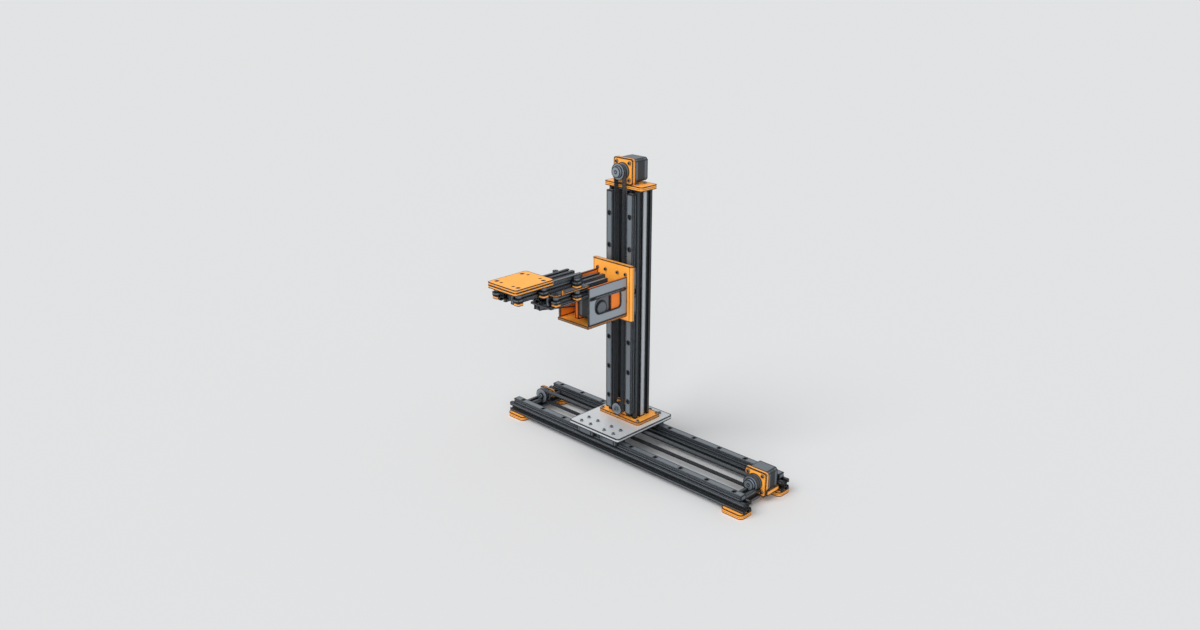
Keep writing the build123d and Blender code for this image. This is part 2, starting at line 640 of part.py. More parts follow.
# Floor drive: motor and toothed pulley at the right end, idler at the left end
def floor_drive():
    front = FLANGE_OUT + BRACKET_GAP
    back = front + BRACKET_THICK
    rail_front = RAIL_SPAN / 2 - CELL / 2
    top = X_AXLE_Z + BRACKET_WIDTH / 2 - BRACKET_TRIM
    bracket = bracket_plate(front, back, X_PULLEY_X, FOOT_HEIGHT, top, X_AXLE_Z)
    pad_half = CELL / 2 - PAD_INSET
    pad = box(CROSS_X - pad_half, CROSS_X + pad_half, front - BRACKET_PAD, front, FOOT_HEIGHT, FRAME_TOP)
    pad -= rod("Y", (X_PULLEY_X, X_AXLE_Z), FLANGE_R + RELIEF_GAP, 0, front)
    side = X_PULLEY_X + MOTOR_SIZE / 2 + MOTOR_RIB_GAP
    rib_low = FOOT_HEIGHT + RIB_LOW
    rib = box(side, side + RIB_THICK, front + BRACKET_THICK / 4, rail_front, rib_low, rib_low + RIB_HEIGHT)
    save("x_motor_bracket", bracket + pad + rib)
    place_y = (X_PULLEY_X, back, X_AXLE_Z)
    save("x_motor", place(motor(MOTOR_SHORT), place_y, FRONT))
    wheel = pulley(X_PULLEY_DRUM_R, FLANGE_R, BELT_WIDTH, SHAFT_R + PRESS_GAP, HUB_R, HUB_LENGTH)
    save("x_drive_pulley", place(wheel, (X_PULLEY_X, 0, X_AXLE_Z), FRONT))
    reach = back + FLANGE_OUT + HUB_LENGTH + SIDE_GAP
    save("x_motor_shaft", place(motor_shaft(reach), place_y, FRONT))
    cheek_in = FLANGE_OUT + IDLER_CHEEK_GAP
    cheek_out = cheek_in + IDLER_CHEEK
    hub = IDLER_CHEEK_GAP - BELT_GAP
    idler = pulley(X_PULLEY_DRUM_R, FLANGE_R, BELT_WIDTH, IDLER_AXLE_R + RUN_GAP, IDLER_HUB_R, hub)
    idler += Pos(0, 0, -FLANGE_OUT - hub / 2) * (Cylinder(IDLER_HUB_R, hub)
                                                 - Cylinder(IDLER_AXLE_R + RUN_GAP, 2 * hub))
    save("x_idler_pulley", place(idler, (-X_PULLEY_X, 0, X_AXLE_Z), FRONT))
    plate = upright_slab(-X_PULLEY_X - IDLER_CHEEK_HALF, -X_PULLEY_X + IDLER_CHEEK_HALF, cheek_in, cheek_out,
                         FRAME_TOP, X_AXLE_Z + IDLER_CHEEK_RISE, BRACKET_CORNER_R, "Y")
    foot_top = FRAME_TOP + IDLER_FOOT_THICK
    plate += box(-CROSS_X - CELL / 2, -CROSS_X + CELL / 2, cheek_out - 1, cheek_out + IDLER_FOOT_LONG,
                 FRAME_TOP, foot_top)
    spot = cheek_out + IDLER_FOOT_LONG / 2
    plate -= rod("Z", (-CROSS_X, spot), CLEAR_HOLE_R, FRAME_TOP - 1, foot_top + 1)
    hole_end = cheek_out - AXLE_WALL
    plate -= rod("Y", (-X_PULLEY_X, X_AXLE_Z), IDLER_AXLE_R + TAP_GAP, cheek_in - 1, hole_end)
    save("x_idler_bracket", plate)
    screws = motor_screws(X_PULLEY_X, front, X_AXLE_Z)
    screws += set_of(cap_screw(IDLER_FOOT_THICK + SLOT_LIP + NUT_THICK), [(-CROSS_X, spot, foot_top)], UP)
    screws += set_of(slot_nut(), [(-CROSS_X, spot, FRAME_TOP - SLOT_LIP)], UP)
    axle = axle_screw(cheek_in + hole_end - SINK_GAP)
    screws += [place(axle, (-X_PULLEY_X, -cheek_in, X_AXLE_Z), FRONT)]
    inner_r = X_PULLEY_DRUM_R + BELT_GAP
    loop = belt_loop([(-X_PULLEY_X, X_AXLE_Z, inner_r), (X_PULLEY_X, X_AXLE_Z, inner_r)],
                     BELT_THICK, BELT_WIDTH)
    save("x_belt", IN_XZ * loop)
    return screws


# X carriage: plate, four blocks and the clamp that holds the belt's upper run
def carriage():
    half_l = PLATE_LENGTH / 2
    half_w = PLATE_WIDTH / 2
    plate = upright_slab(CARRIAGE_X - half_l, CARRIAGE_X + half_l, -half_w, half_w,
                         PLATE_BOTTOM, PLATE_TOP, PLATE_CORNER_R, "Z")
    centres = [(CARRIAGE_X + i * BLOCK_SPREAD / 2, j * RAIL_SPAN / 2) for i in (-1, 1) for j in (-1, 1)]
    bolts = [spot for x, y in centres for spot in grid(x, y, BLOCK_BOLT_LONG, BLOCK_BOLT_CROSS)]
    plate = drill(plate, bolts, "Z", CLEAR_HOLE_R, PLATE_BOTTOM - 1, PLATE_TOP + 1)
    save("x_blocks", [Pos(x, y, FRAME_TOP) * rail_block() for x, y in centres])
    screws = set_of(cap_screw(PLATE_THICK + 5), [(x, y, PLATE_TOP) for x, y in bolts], UP)
    belt_top = X_AXLE_Z + X_PULLEY_DRUM_R + BELT_GAP
    jaw_low = belt_top - BELT_GAP - CLAMP_JAW
    clamp_y = BELT_HALF + CLAMP_SIDE
    gap_y = BELT_HALF + CLAMP_GAP
    clamp = box(CARRIAGE_X - CLAMP_HALF, CARRIAGE_X + CLAMP_HALF, -clamp_y, clamp_y, jaw_low, PLATE_BOTTOM)
    clamp -= box(CARRIAGE_X - 2 * CLAMP_HALF, CARRIAGE_X + 2 * CLAMP_HALF, -gap_y, gap_y,
                 belt_top - BELT_GAP, belt_top + BELT_THICK + BELT_GAP)
    spots = [(CARRIAGE_X, side * (BELT_HALF + CLAMP_SCREW_SIDE)) for side in (-1, 1)]
    clamp = drill(clamp, spots, "Z", CLEAR_HOLE_R, jaw_low - 1, PLATE_BOTTOM + 1)
    plate = drill(plate, spots, "Z", SCREW_R + TAP_GAP, PLATE_BOTTOM - 1, PLATE_BOTTOM + 5)
    screws += set_of(cap_screw(PLATE_BOTTOM - jaw_low + 4.5), [(x, y, jaw_low) for x, y in spots], DOWN)
    plate = drill(plate, mast_base_bolts(), "Z", SCREW_R + TAP_GAP, PLATE_TOP - 6.5, PLATE_TOP + 1)
    save("carriage_plate", plate)
    save("x_belt_clamp", clamp)
    return bolts, screws


def mast_base_bolts():
    half = MAST_BASE_LENGTH / 2 - MAST_BOLT_INSET
    return [(CARRIAGE_X + i * half, y) for i in (-1, 1)
            for y in (MAST_BASE_FRONT + MAST_BOLT_INSET, MAST_BASE_BACK - MAST_BOLT_INSET)]


# Mast: two columns with a rail each, on a base plate and under a top plate
def mast(plate_bolts):
    half = MAST_BASE_LENGTH / 2
    base = upright_slab(CARRIAGE_X - half, CARRIAGE_X + half, MAST_BASE_FRONT, MAST_BASE_BACK,
                        PLATE_TOP, MAST_FOOT, SOFT_CORNER_R, "Z")
    under = [spot for spot in plate_bolts if 0 < spot[1] < MAST_BASE_BACK]
    base = drill(base, under, "Z", HEAD_R + 0.5, PLATE_TOP - 1, PLATE_TOP + HEAD_H + 0.4)
    corners = mast_base_bolts()
    base = drill(base, corners, "Z", CLEAR_HOLE_R, PLATE_TOP - 1, MAST_FOOT + 1)
    screws = set_of(cap_screw(MAST_BASE_THICK + MAST_PLATE_TAP), [(x, y, MAST_FOOT) for x, y in corners], UP)
    column_y = COLUMN_FRONT + CELL
    columns_x = (CARRIAGE_X - COLUMN_SPAN / 2, CARRIAGE_X + COLUMN_SPAN / 2)
    columns = []
    rails = []
    tops = []
    bare = rail(MAST_RAIL_LENGTH, MAST_RAIL_FIRST, MAST_RAIL_HOLES)
    foot = MAST_FOOT + MAST_RAIL_LIFT
    seat = MAST_RAIL_FACE + RAIL_SINK_DEPTH
    for x in columns_x:
        columns.append(extrusion(along_z(x, column_y, MAST_FOOT), COLUMN_HEIGHT, 2))
        rails.append(place(bare, (x, COLUMN_FRONT, foot), FRONT, UP))
        heights = [foot + MAST_RAIL_FIRST + RAIL_PITCH * i for i in range(MAST_RAIL_HOLES)]
        screws += set_of(cap_screw(RAIL_SCREW), [(x, seat, z) for z in heights], FRONT)
        nut_y = COLUMN_FRONT + SLOT_LIP
        screws += set_of(slot_nut(), [(x, nut_y, z) for z in heights], FRONT)
        tops += [(x, column_y - CELL / 2), (x, column_y + CELL / 2)]
    save("mast_columns", columns)
    save("mast_rails", rails)
    half = TOP_PLATE_LENGTH / 2
    top = upright_slab(CARRIAGE_X - half, CARRIAGE_X + half, TOP_PLATE_FRONT, TOP_PLATE_BACK,
                       MAST_HEAD, TOP_PLATE_TOP, SOFT_CORNER_R, "Z")
    top = drill(top, tops, "Z", CLEAR_HOLE_R, MAST_HEAD - 1, TOP_PLATE_TOP + 1)
    screws += set_of(cap_screw(TOP_PLATE_THICK + 8), [(x, y, TOP_PLATE_TOP) for x, y in tops], UP)
    front = Z_BRACKET_FRONT
    back = front + BRACKET_THICK
    under = [(CARRIAGE_X + side * 10, (front + back) / 2) for side in (-1, 1)]
    top = drill(top, under, "Z", CLEAR_HOLE_R, MAST_HEAD - 1, TOP_PLATE_TOP + 1)
    screws += set_of(cap_screw(TOP_PLATE_THICK + 5), [(x, y, MAST_HEAD) for x, y in under], DOWN)
    bracket = bracket_plate(front, back, CARRIAGE_X, TOP_PLATE_TOP, TOP_PLATE_TOP + Z_BRACKET_HEIGHT,
                            Z_AXLE_Z)
    bracket = drill(bracket, under, "Z", SCREW_R + TAP_GAP, TOP_PLATE_TOP - 1, TOP_PLATE_TOP + 6)
    save("mast_top_plate", top)
    save("z_motor_bracket", bracket)
    seat = (CARRIAGE_X, back, Z_AXLE_Z)
    save("z_motor", place(motor(MOTOR_LONG), seat, FRONT))
    screws += motor_screws(CARRIAGE_X, front, Z_AXLE_Z)
    wheel = pulley(Z_DRUM_R, FLANGE_R, BELT_WIDTH, SHAFT_R + PRESS_GAP, HUB_R, HUB_LENGTH)
    save("z_drive_pulley", place(wheel, (CARRIAGE_X, Z_BELT_Y, Z_AXLE_Z), FRONT))
    reach = back - Z_BELT_Y + FLANGE_OUT + HUB_LENGTH + SIDE_GAP
    save("z_motor_shaft", place(motor_shaft(reach), seat, FRONT))
    idler = pulley(Z_DRUM_R, Z_IDLER_FLANGE_R, BELT_WIDTH, IDLER_AXLE_R + RUN_GAP, IDLER_HUB_R, Z_IDLER_HUB)
    save("z_idler_pulley", place(idler, (CARRIAGE_X, Z_BELT_Y, Z_IDLER_Z), FRONT))
    gap_half = COLUMN_SPAN / 2 - CELL / 2 - Z_HOLDER_SIDE_GAP
    foot_top = MAST_FOOT + Z_HOLDER_FOOT_THICK
    hold = box(CARRIAGE_X - gap_half, CARRIAGE_X + gap_half, front, front + Z_HOLDER_THICK, MAST_FOOT,
               Z_IDLER_Z + Z_HOLDER_RISE)
    hold += box(CARRIAGE_X - gap_half, CARRIAGE_X + gap_half, front, front + Z_HOLDER_FOOT, MAST_FOOT,
                foot_top)
    hole_end = front + Z_HOLDER_THICK - AXLE_WALL
    hold -= rod("Y", (CARRIAGE_X, Z_IDLER_Z), IDLER_AXLE_R + TAP_GAP, front - 1, hole_end)
    axle_seat = Z_BELT_Y - FLANGE_OUT - SIDE_GAP
    axle = axle_screw(hole_end - SINK_GAP - axle_seat)
    screws += [place(axle, (CARRIAGE_X, axle_seat, Z_IDLER_Z), FRONT)]
    spots = [(CARRIAGE_X + side * Z_HOLDER_SCREW_SIDE, front + Z_HOLDER_SCREW_BACK) for side in (-1, 1)]
    hold = drill(hold, spots, "Z", CLEAR_HOLE_R, MAST_FOOT - 1, foot_top + 1)
    base = drill(base, spots, "Z", SCREW_R + TAP_GAP, PLATE_TOP + 1, MAST_FOOT + 1)
    screws += set_of(cap_screw(Z_HOLDER_FOOT_THICK + MAST_BASE_THICK - AXLE_WALL - SIDE_GAP),
                     [(x, y, foot_top) for x, y in spots], UP)
    save("z_idler_bracket", hold)
    save("mast_base_plate", base)
    inner_r = Z_DRUM_R + BELT_GAP
    loop = belt_loop([(CARRIAGE_X, Z_IDLER_Z, inner_r), (CARRIAGE_X, Z_AXLE_Z, inner_r)],
                     BELT_THICK, BELT_WIDTH)
    save("z_belt", Pos(0, Z_BELT_Y, 0) * (IN_XZ * loop))
    return screws


# Lift carriage: plate with four blocks, and the open box that carries the arm
def lift():
    half = LIFT_WIDTH / 2
    plate = upright_slab(CARRIAGE_X - half, CARRIAGE_X + half, LIFT_FRONT, LIFT_BACK,
                         LIFT_Z - LIFT_BELOW, LIFT_Z + LIFT_ABOVE, LIFT_THICK * 0.4, "Z")
    centres = [(CARRIAGE_X + i * COLUMN_SPAN / 2, LIFT_Z + j * LIFT_BLOCK_SPREAD / 2)
               for i in (-1, 1) for j in (-1, 1)]
    bolts = [spot for x, z in centres for spot in grid(x, z, BLOCK_BOLT_CROSS, BLOCK_BOLT_LONG)]
    highest = max(z for x, z in bolts)
    proud = [spot for spot in bolts if spot[1] == highest]
    flush = [spot for spot in bolts if spot[1] != highest]
    plate = drill(plate, bolts, "Y", CLEAR_HOLE_R, LIFT_FRONT - 1, LIFT_BACK + 1)
    plate = drill(plate, flush, "Y", HEAD_R + SINK_GAP, LIFT_FRONT - 1, LIFT_FRONT + HEAD_H / 2)
    blocks = [place(rail_block(), (x, COLUMN_FRONT, z), FRONT, UP) for x, z in centres]
    screws = set_of(cap_screw(LIFT_THICK + 5), [(x, LIFT_FRONT, z) for x, z in proud], FRONT)
    screws += set_of(flush_screw(LIFT_THICK + 5), [(x, LIFT_FRONT, z) for x, z in flush], FRONT)
    belt_x = CARRIAGE_X + Z_DRUM_R + BELT_GAP
    jaw_right = CARRIAGE_X + COLUMN_SPAN / 2 - RAIL_WIDTH / 2 - 1
    clamp = box(belt_x - 6, jaw_right, LIFT_BACK, COLUMN_FRONT - 1, LIFT_Z - 3, LIFT_Z + 3)
    clamp -= box(belt_x - BELT_GAP, belt_x + BELT_THICK + BELT_GAP, Z_BELT_Y - BELT_HALF - BELT_GAP,
                 Z_BELT_Y + BELT_HALF + BELT_GAP, LIFT_Z - 4, LIFT_Z + 4)
    save("lift_plate", plate)
    save("lift_blocks", blocks)
    save("z_belt_clamp", clamp)
    floor = box(BOX_LEFT, BOX_RIGHT, BOX_FRONT, LIFT_FRONT, FLOOR_BOTTOM, FLOOR_TOP)
    wall_front = BOX_FRONT + WALL_SETBACK
    left = box(BOX_LEFT, BOX_LEFT + LEFT_WALL_THICK, wall_front, LIFT_FRONT, FLOOR_TOP, WALL_TOP)
    right = box(BOX_RIGHT - RIGHT_WALL_THICK, BOX_RIGHT, wall_front, LIFT_FRONT, FLOOR_TOP, WALL_TOP)
    window = box(BOX_RIGHT - 2 * RIGHT_WALL_THICK, BOX_RIGHT + 1, WINDOW_FRONT, WINDOW_BACK,
                 FLOOR_TOP + WINDOW_LOW, FLOOR_TOP + WINDOW_HIGH)
    ends = window.edges().filter_by(Axis.X).group_by(Axis.Y)
    window = fillet(ends[0], WINDOW_FRONT_R)
    window = fillet(window.edges().filter_by(Axis.X).group_by(Axis.Y)[-1], WINDOW_BACK_R)
    right -= window
    right -= box(CARRIAGE_X, BOX_RIGHT + 1, *RIGHT_SLOT, STAGE_BOTTOM, STAGE_TOP + TAB_GAP)
    left -= box(BOX_LEFT - 1, CARRIAGE_X, LEFT_TAB[0] - TAB_GAP, LEFT_TAB[1] + TAB_GAP,
                STAGE_BOTTOM, STAGE_TOP + TAB_GAP)
    cheek_right = BOX_RIGHT - RIGHT_WALL_THICK - SIDE_GAP
    floor += box(cheek_right - CHEEK_THICK, cheek_right, ARM_MOTOR_Y + MOTOR_SIZE / 2 + CHEEK_GAP, LIFT_FRONT,
                 FLOOR_TOP, STAGE_BOTTOM - TAB_GAP)
    save("box_floor", floor)
    save("box_left_wall", left)
    save("box_right_wall", right)
    return screws


def guide_bar(x0, front, back, low):
    """The narrow bar on the arm's right side, grooved along its outer face."""
    x1 = x0 + GUIDE_WIDTH
    middle = low + CELL / 2
    bar = box(x0, x1, front, back, low, low + CELL)
    bar -= box(x1 - GUIDE_GROOVE, x1 + 1, front - 1, back + 1, middle - SLOT_MOUTH / 2,
               middle + SLOT_MOUTH / 2)
    for side in (-1, 1):
        height = middle + side * GUIDE_LINE_OFF
        bar -= box(x1 - GUIDE_LINE, x1 + 1, front - 1, back + 1, height - GUIDE_LINE, height + GUIDE_LINE)
    return bar


def shoe_spots(places_y):
    return [(CARRIAGE_X + side * SHOE_OFF, y) for side in (-1, 1) for y in places_y]


def shoe(x, y, low, high, beam_middle):
    """A guide shoe beside the beam: a round post with a disc that runs in the beam's side slot."""
    post = rod("Z", (x, y), SHOE_POST_R, low + SHOE_PAD, high)
    post += rod("Z", (x, y), SHOE_SPIGOT_R, low, low + SHOE_PAD)
    disc_half = SLOT_MOUTH / 2 - SLIDE_GAP
    reach = SHOE_WIDTH / 2 + SHOE_GAP + SHOE_RIDGE
    disc = rod("Z", (x, y), reach, beam_middle - disc_half, beam_middle + disc_half)
    side = 1 if x > CARRIAGE_X else -1
    outer = x + side * SHOE_WIDTH / 2
    disc -= box(outer, outer + side * reach, y - 2 * reach, y + 2 * reach, low, high)
    return drill(post + disc, [(x, y)], "Z", SCREW_R + TAP_GAP, high - SHOE_TAP, high + 1)


def shoe_foot(x, y, low):
    """The rounded foot that is pressed on a shoe's lower end."""
    half = SHOE_WIDTH / 2
    long = SHOE_LENGTH / 2
    foot = upright_slab(x - half, x + half, y - long, y + long, low, low + SHOE_PAD, SHOE_CORNER_R, "Z")
    return foot - rod("Z", (x, y), SHOE_SPIGOT_R + TAP_GAP, low - 1, low + SHOE_PAD + 1)


def shoe_set(places_y, low, high, beam_middle):
    spots = shoe_spots(places_y)
    return [shoe(x, y, low, high, beam_middle) for x, y in spots] + [shoe_foot(x, y, low) for x, y in spots]


def slim_idler(x, y, z, drum_r, flange_r):
    wheel = pulley(drum_r, flange_r, SLIM_BELT_WIDTH, PIN_R + RUN_GAP, PIN_R + SLIM_BELT_THICK,
                   Z_IDLER_HUB, SLIM_TOOTH_PITCH, SLIM_TOOTH_R)
    return place(wheel, (x, y, z), (1, 0, 0), (0, 1, 0))


# Fixed stage of the arm: plate, beam, guide bar and the drive inside the box
def fixed_stage():
    stage = upright_slab(CARRIAGE_X - STAGE_HALF, CARRIAGE_X + STAGE_HALF, STAGE_FRONT, STAGE_BACK,
                         STAGE_BOTTOM, STAGE_TOP, SHOE_CORNER_R, "Z")
    stage += box(CARRIAGE_X, BOX_RIGHT, *RIGHT_TAB, STAGE_BOTTOM, STAGE_TOP)
    stage += box(BOX_LEFT, CARRIAGE_X, *LEFT_TAB, STAGE_BOTTOM, STAGE_TOP)
    save("stage_plate", stage)
    beam = extrusion(along_y(BEAM_LEFT + CELL / 2, BEAM_FRONT, STAGE_TOP + CELL / 2),
                     BEAM_BACK - BEAM_FRONT)
    save("fixed_beam", beam)
    save("fixed_guide", guide_bar(GAP_RIGHT, BEAM_FRONT, GUIDE_BACK, STAGE_TOP))
    post_half = (GAP_RIGHT - GAP_LEFT) / 2 - CLAMP_GAP
    belt_low = MID_AXLE_Z - MID_IDLER_DRUM_R - BELT_GAP - SLIM_BELT_THICK
    belt_top = belt_low + SLIM_BELT_THICK
    belt_side = SLIM_BELT_WIDTH / 2 + CLAMP_GAP
    anchor = box(GAP_MIDDLE - post_half, GAP_MIDDLE + post_half, ANCHOR_Y - ANCHOR_HALF,
                 ANCHOR_Y + ANCHOR_HALF, STAGE_TOP, belt_top + BELT_GAP + SLIM_JAW)
    anchor -= box(GAP_MIDDLE - belt_side, GAP_MIDDLE + belt_side, ANCHOR_Y - 2 * ANCHOR_HALF,
                  ANCHOR_Y + 2 * ANCHOR_HALF, belt_low - BELT_GAP, belt_top + BELT_GAP)
    save("cascade_anchor", anchor)
    front = ARM_MOTOR_X - BRACKET_THICK
    plate = upright_slab(front, ARM_MOTOR_X, ARM_MOTOR_Y - BRACKET_WIDTH / 2, LIFT_FRONT, FLOOR_TOP,
                         STAGE_BOTTOM - TAB_GAP, ARM_BRACKET_CORNER_R, "X")
    plate -= rod("X", (ARM_MOTOR_Y, ARM_MOTOR_Z), BRACKET_BORE_R, front - 1, ARM_MOTOR_X + 1)
    bolts = grid(ARM_MOTOR_Y, ARM_MOTOR_Z, MOTOR_BOLT, MOTOR_BOLT)
    plate = drill(plate, bolts, "X", CLEAR_HOLE_R, front - 1, ARM_MOTOR_X + 1)
    save("arm_motor_bracket", plate)
    screws = set_of(cap_screw(BRACKET_THICK + MOTOR_TAP_DEPTH - 0.5),
                    [(front, y, z) for y, z in bolts], LEFT, UP)
    seat = (ARM_MOTOR_X, ARM_MOTOR_Y, ARM_MOTOR_Z)
    save("arm_motor", place(motor(MOTOR_LONG, REAR_BOSS_H), seat, LEFT, UP))
    wheel = pulley(ARM_DRUM_R, ARM_DRUM_R + ARM_DRUM_FLANGE, SLIM_BELT_WIDTH, SHAFT_R + PRESS_GAP,
                   ARM_HUB_R, ARM_HUB_LENGTH, SLIM_TOOTH_PITCH, SLIM_TOOTH_R)
    reach = ARM_MOTOR_X - ARM_BELT_X + SLIM_FLANGE_OUT + ARM_HUB_LENGTH + SIDE_GAP
    save("arm_drive_pulley", place(wheel, (ARM_BELT_X, ARM_MOTOR_Y, ARM_MOTOR_Z), LEFT, UP),
         place(motor_shaft(reach), seat, LEFT, UP))
    holders = []
    for name, y in zip(("front", "rear"), ARM_IDLERS_Y):
        flange_r = ARM_IDLER_DRUM_R + ARM_IDLER_FLANGE
        save(f"arm_idler_{name}", slim_idler(ARM_BELT_X, y, ARM_IDLER_Z, ARM_IDLER_DRUM_R, flange_r))
        inner = SLIM_FLANGE_OUT + SIDE_GAP
        outer = inner + ARM_CHEEK
        low = ARM_IDLER_Z - ARM_IDLER_DRUM_R
        hold = box(ARM_BELT_X - outer, ARM_BELT_X + outer, y - ARM_HOLDER_HALF, y + ARM_HOLDER_HALF,
                   low, STAGE_BOTTOM)
        hold -= box(ARM_BELT_X - inner, ARM_BELT_X + inner, y - 2 * ARM_HOLDER_HALF, y + 2 * ARM_HOLDER_HALF,
                    low - 1, STAGE_BOTTOM - ARM_HOLDER_THICK)
        hold += rod("X", (y, ARM_IDLER_Z), PIN_R, ARM_BELT_X - outer, ARM_BELT_X + outer)
        holders.append(hold)
    save("arm_idler_holders", holders)
    idler_r = ARM_IDLER_DRUM_R + BELT_GAP
    loop = belt_loop([(ARM_MOTOR_Y, ARM_MOTOR_Z, ARM_DRUM_R + BELT_GAP),
                      (ARM_IDLERS_Y[1], ARM_IDLER_Z, idler_r),
                      (ARM_IDLERS_Y[0], ARM_IDLER_Z, idler_r)], SLIM_BELT_THICK, SLIM_BELT_WIDTH)
    save("arm_belt", Pos(ARM_BELT_X, 0, 0) * (IN_YZ * loop))
    return screws


# Middle stage: plate with its shoes below, beam and guide bar above, cascade belt in the gap
def middle_stage():
    plate = upright_slab(CARRIAGE_X - MID_PLATE_HALF, CARRIAGE_X + MID_PLATE_HALF, MID_FRONT, MID_BACK,
                         MID_BOTTOM, MID_TOP, SHOE_CORNER_R, "Z")
    plate -= box(GAP_LEFT, GAP_RIGHT, MID_FRONT - 1, MID_SLOT_BACK, MID_BOTTOM - 1, MID_TOP + 1)
    flag_low = MID_BOTTOM + FLAG_LOW
    flag_front = FLAG_Y - FLAG_THICK / 2
    flag_back = FLAG_Y + FLAG_THICK / 2
    plate += box(FLAG_IN, FLAG_OUT, flag_front, flag_back, flag_low, MID_BOTTOM + FLAG_HIGH)
    plate += box(FLAG_IN - FLAG_THICK, FLAG_IN + 1, flag_front, flag_back, flag_low, MID_TOP)
    spots = shoe_spots(MID_SHOES_Y)
    front_spots = shoe_spots(MID_SHOES_Y[:1])
    rear_spots = shoe_spots(MID_SHOES_Y[1:])
    plate = drill(plate, spots, "Z", CLEAR_HOLE_R, MID_BOTTOM - 1, MID_TOP + 1)
    plate = drill(plate, front_spots, "Z", HEAD_R + SINK_GAP, MID_TOP - HEAD_H / 2, MID_TOP + 1)
    save("mid_plate", plate)
    save("mid_shoes", shoe_set(MID_SHOES_Y, STAGE_TOP + MID_SHOE_LIFT, MID_BOTTOM, STAGE_TOP + CELL / 2))
    beam = extrusion(along_y(BEAM_LEFT + CELL / 2, MID_BEAM_FRONT, MID_TOP + CELL / 2),
                     MID_BEAM_BACK - MID_BEAM_FRONT)
    guide = guide_bar(GAP_RIGHT, MID_BEAM_FRONT, MID_BEAM_BACK, MID_TOP)
    holder_top = MID_BEAM_TOP - MID_HOLDER_DROP
    holders = shoe_set(MID_SHOES_Y[1:], MID_TOP, holder_top, MID_TOP + CELL / 2)
    holders = [drill(one, rear_spots, "Z", CLEAR_HOLE_R, MID_TOP - 1, holder_top + 1) for one in holders]
    holders = [drill(one, rear_spots, "Z", HEAD_R + SINK_GAP, holder_top - HEAD_H / 2, holder_top + 1)
               for one in holders]
    save("mid_beam_holders", holders)
    flush = flush_screw(MID_PLATE_THICK + SHOE_TAP - 1)
    long_flush = flush_screw(holder_top - MID_BOTTOM + SHOE_TAP - 1)
    pins = set_of(flush, [(x, y, MID_TOP) for x, y in front_spots], UP)
    pins += set_of(long_flush, [(x, y, holder_top) for x, y in rear_spots], UP)
    pin_start = GAP_LEFT - PIN_HOLD
    pin_end = BEAM_RIGHT - GUIDE_GROOVE - PIN_WALL
    for name, y in zip(("front", "rear"), MID_IDLERS_Y):
        beam -= rod("X", (y, MID_AXLE_Z), PIN_R + TAP_GAP, pin_start - SINK_GAP, GAP_LEFT + 1)
        guide -= rod("X", (y, MID_AXLE_Z), PIN_R + TAP_GAP, GAP_RIGHT - 1, pin_end + SINK_GAP)
        pins.append(rod("X", (y, MID_AXLE_Z), PIN_R, pin_start, pin_end))
        flange_r = MID_IDLER_DRUM_R + SLIM_FLANGE
        save(f"mid_idler_{name}", slim_idler(GAP_MIDDLE, y, MID_AXLE_Z, MID_IDLER_DRUM_R, flange_r))
    save("mid_beam", beam)
    save("mid_guide", guide)
    save("mid_pins_and_screws", pins)
    idler_r = MID_IDLER_DRUM_R + BELT_GAP
    loop = belt_loop([(MID_IDLERS_Y[0], MID_AXLE_Z, idler_r), (MID_IDLERS_Y[1], MID_AXLE_Z, idler_r)],
                     SLIM_BELT_THICK, SLIM_BELT_WIDTH)
    save("cascade_belt", Pos(GAP_MIDDLE, 0, 0) * (IN_YZ * loop))
    wall_x = BOX_LEFT + LEFT_WALL_THICK + ARM_CLAMP_GAP
    belt_in = ARM_IDLER_Z + ARM_IDLER_DRUM_R + BELT_GAP
    belt_side = SLIM_BELT_WIDTH / 2 + CLAMP_GAP
    front = ARM_CLAMP_Y - ARM_CLAMP_HALF
    back = ARM_CLAMP_Y + ARM_CLAMP_HALF
    jaw_low = belt_in - ARM_CLAMP_JAW
    clamp = box(wall_x, wall_x + ARM_CLAMP_ARM, front, back, jaw_low, MID_BOTTOM)
    clamp += box(wall_x, ARM_BELT_X + belt_side + ARM_CLAMP_LIP, front, back, jaw_low,
                 STAGE_BOTTOM - LAYER_GAP)
    clamp -= box(ARM_BELT_X - belt_side, ARM_BELT_X + belt_side, front - 1, back + 1, belt_in - BELT_GAP,
                 belt_in + SLIM_BELT_THICK + BELT_GAP)
    save("arm_belt_clamp", clamp)


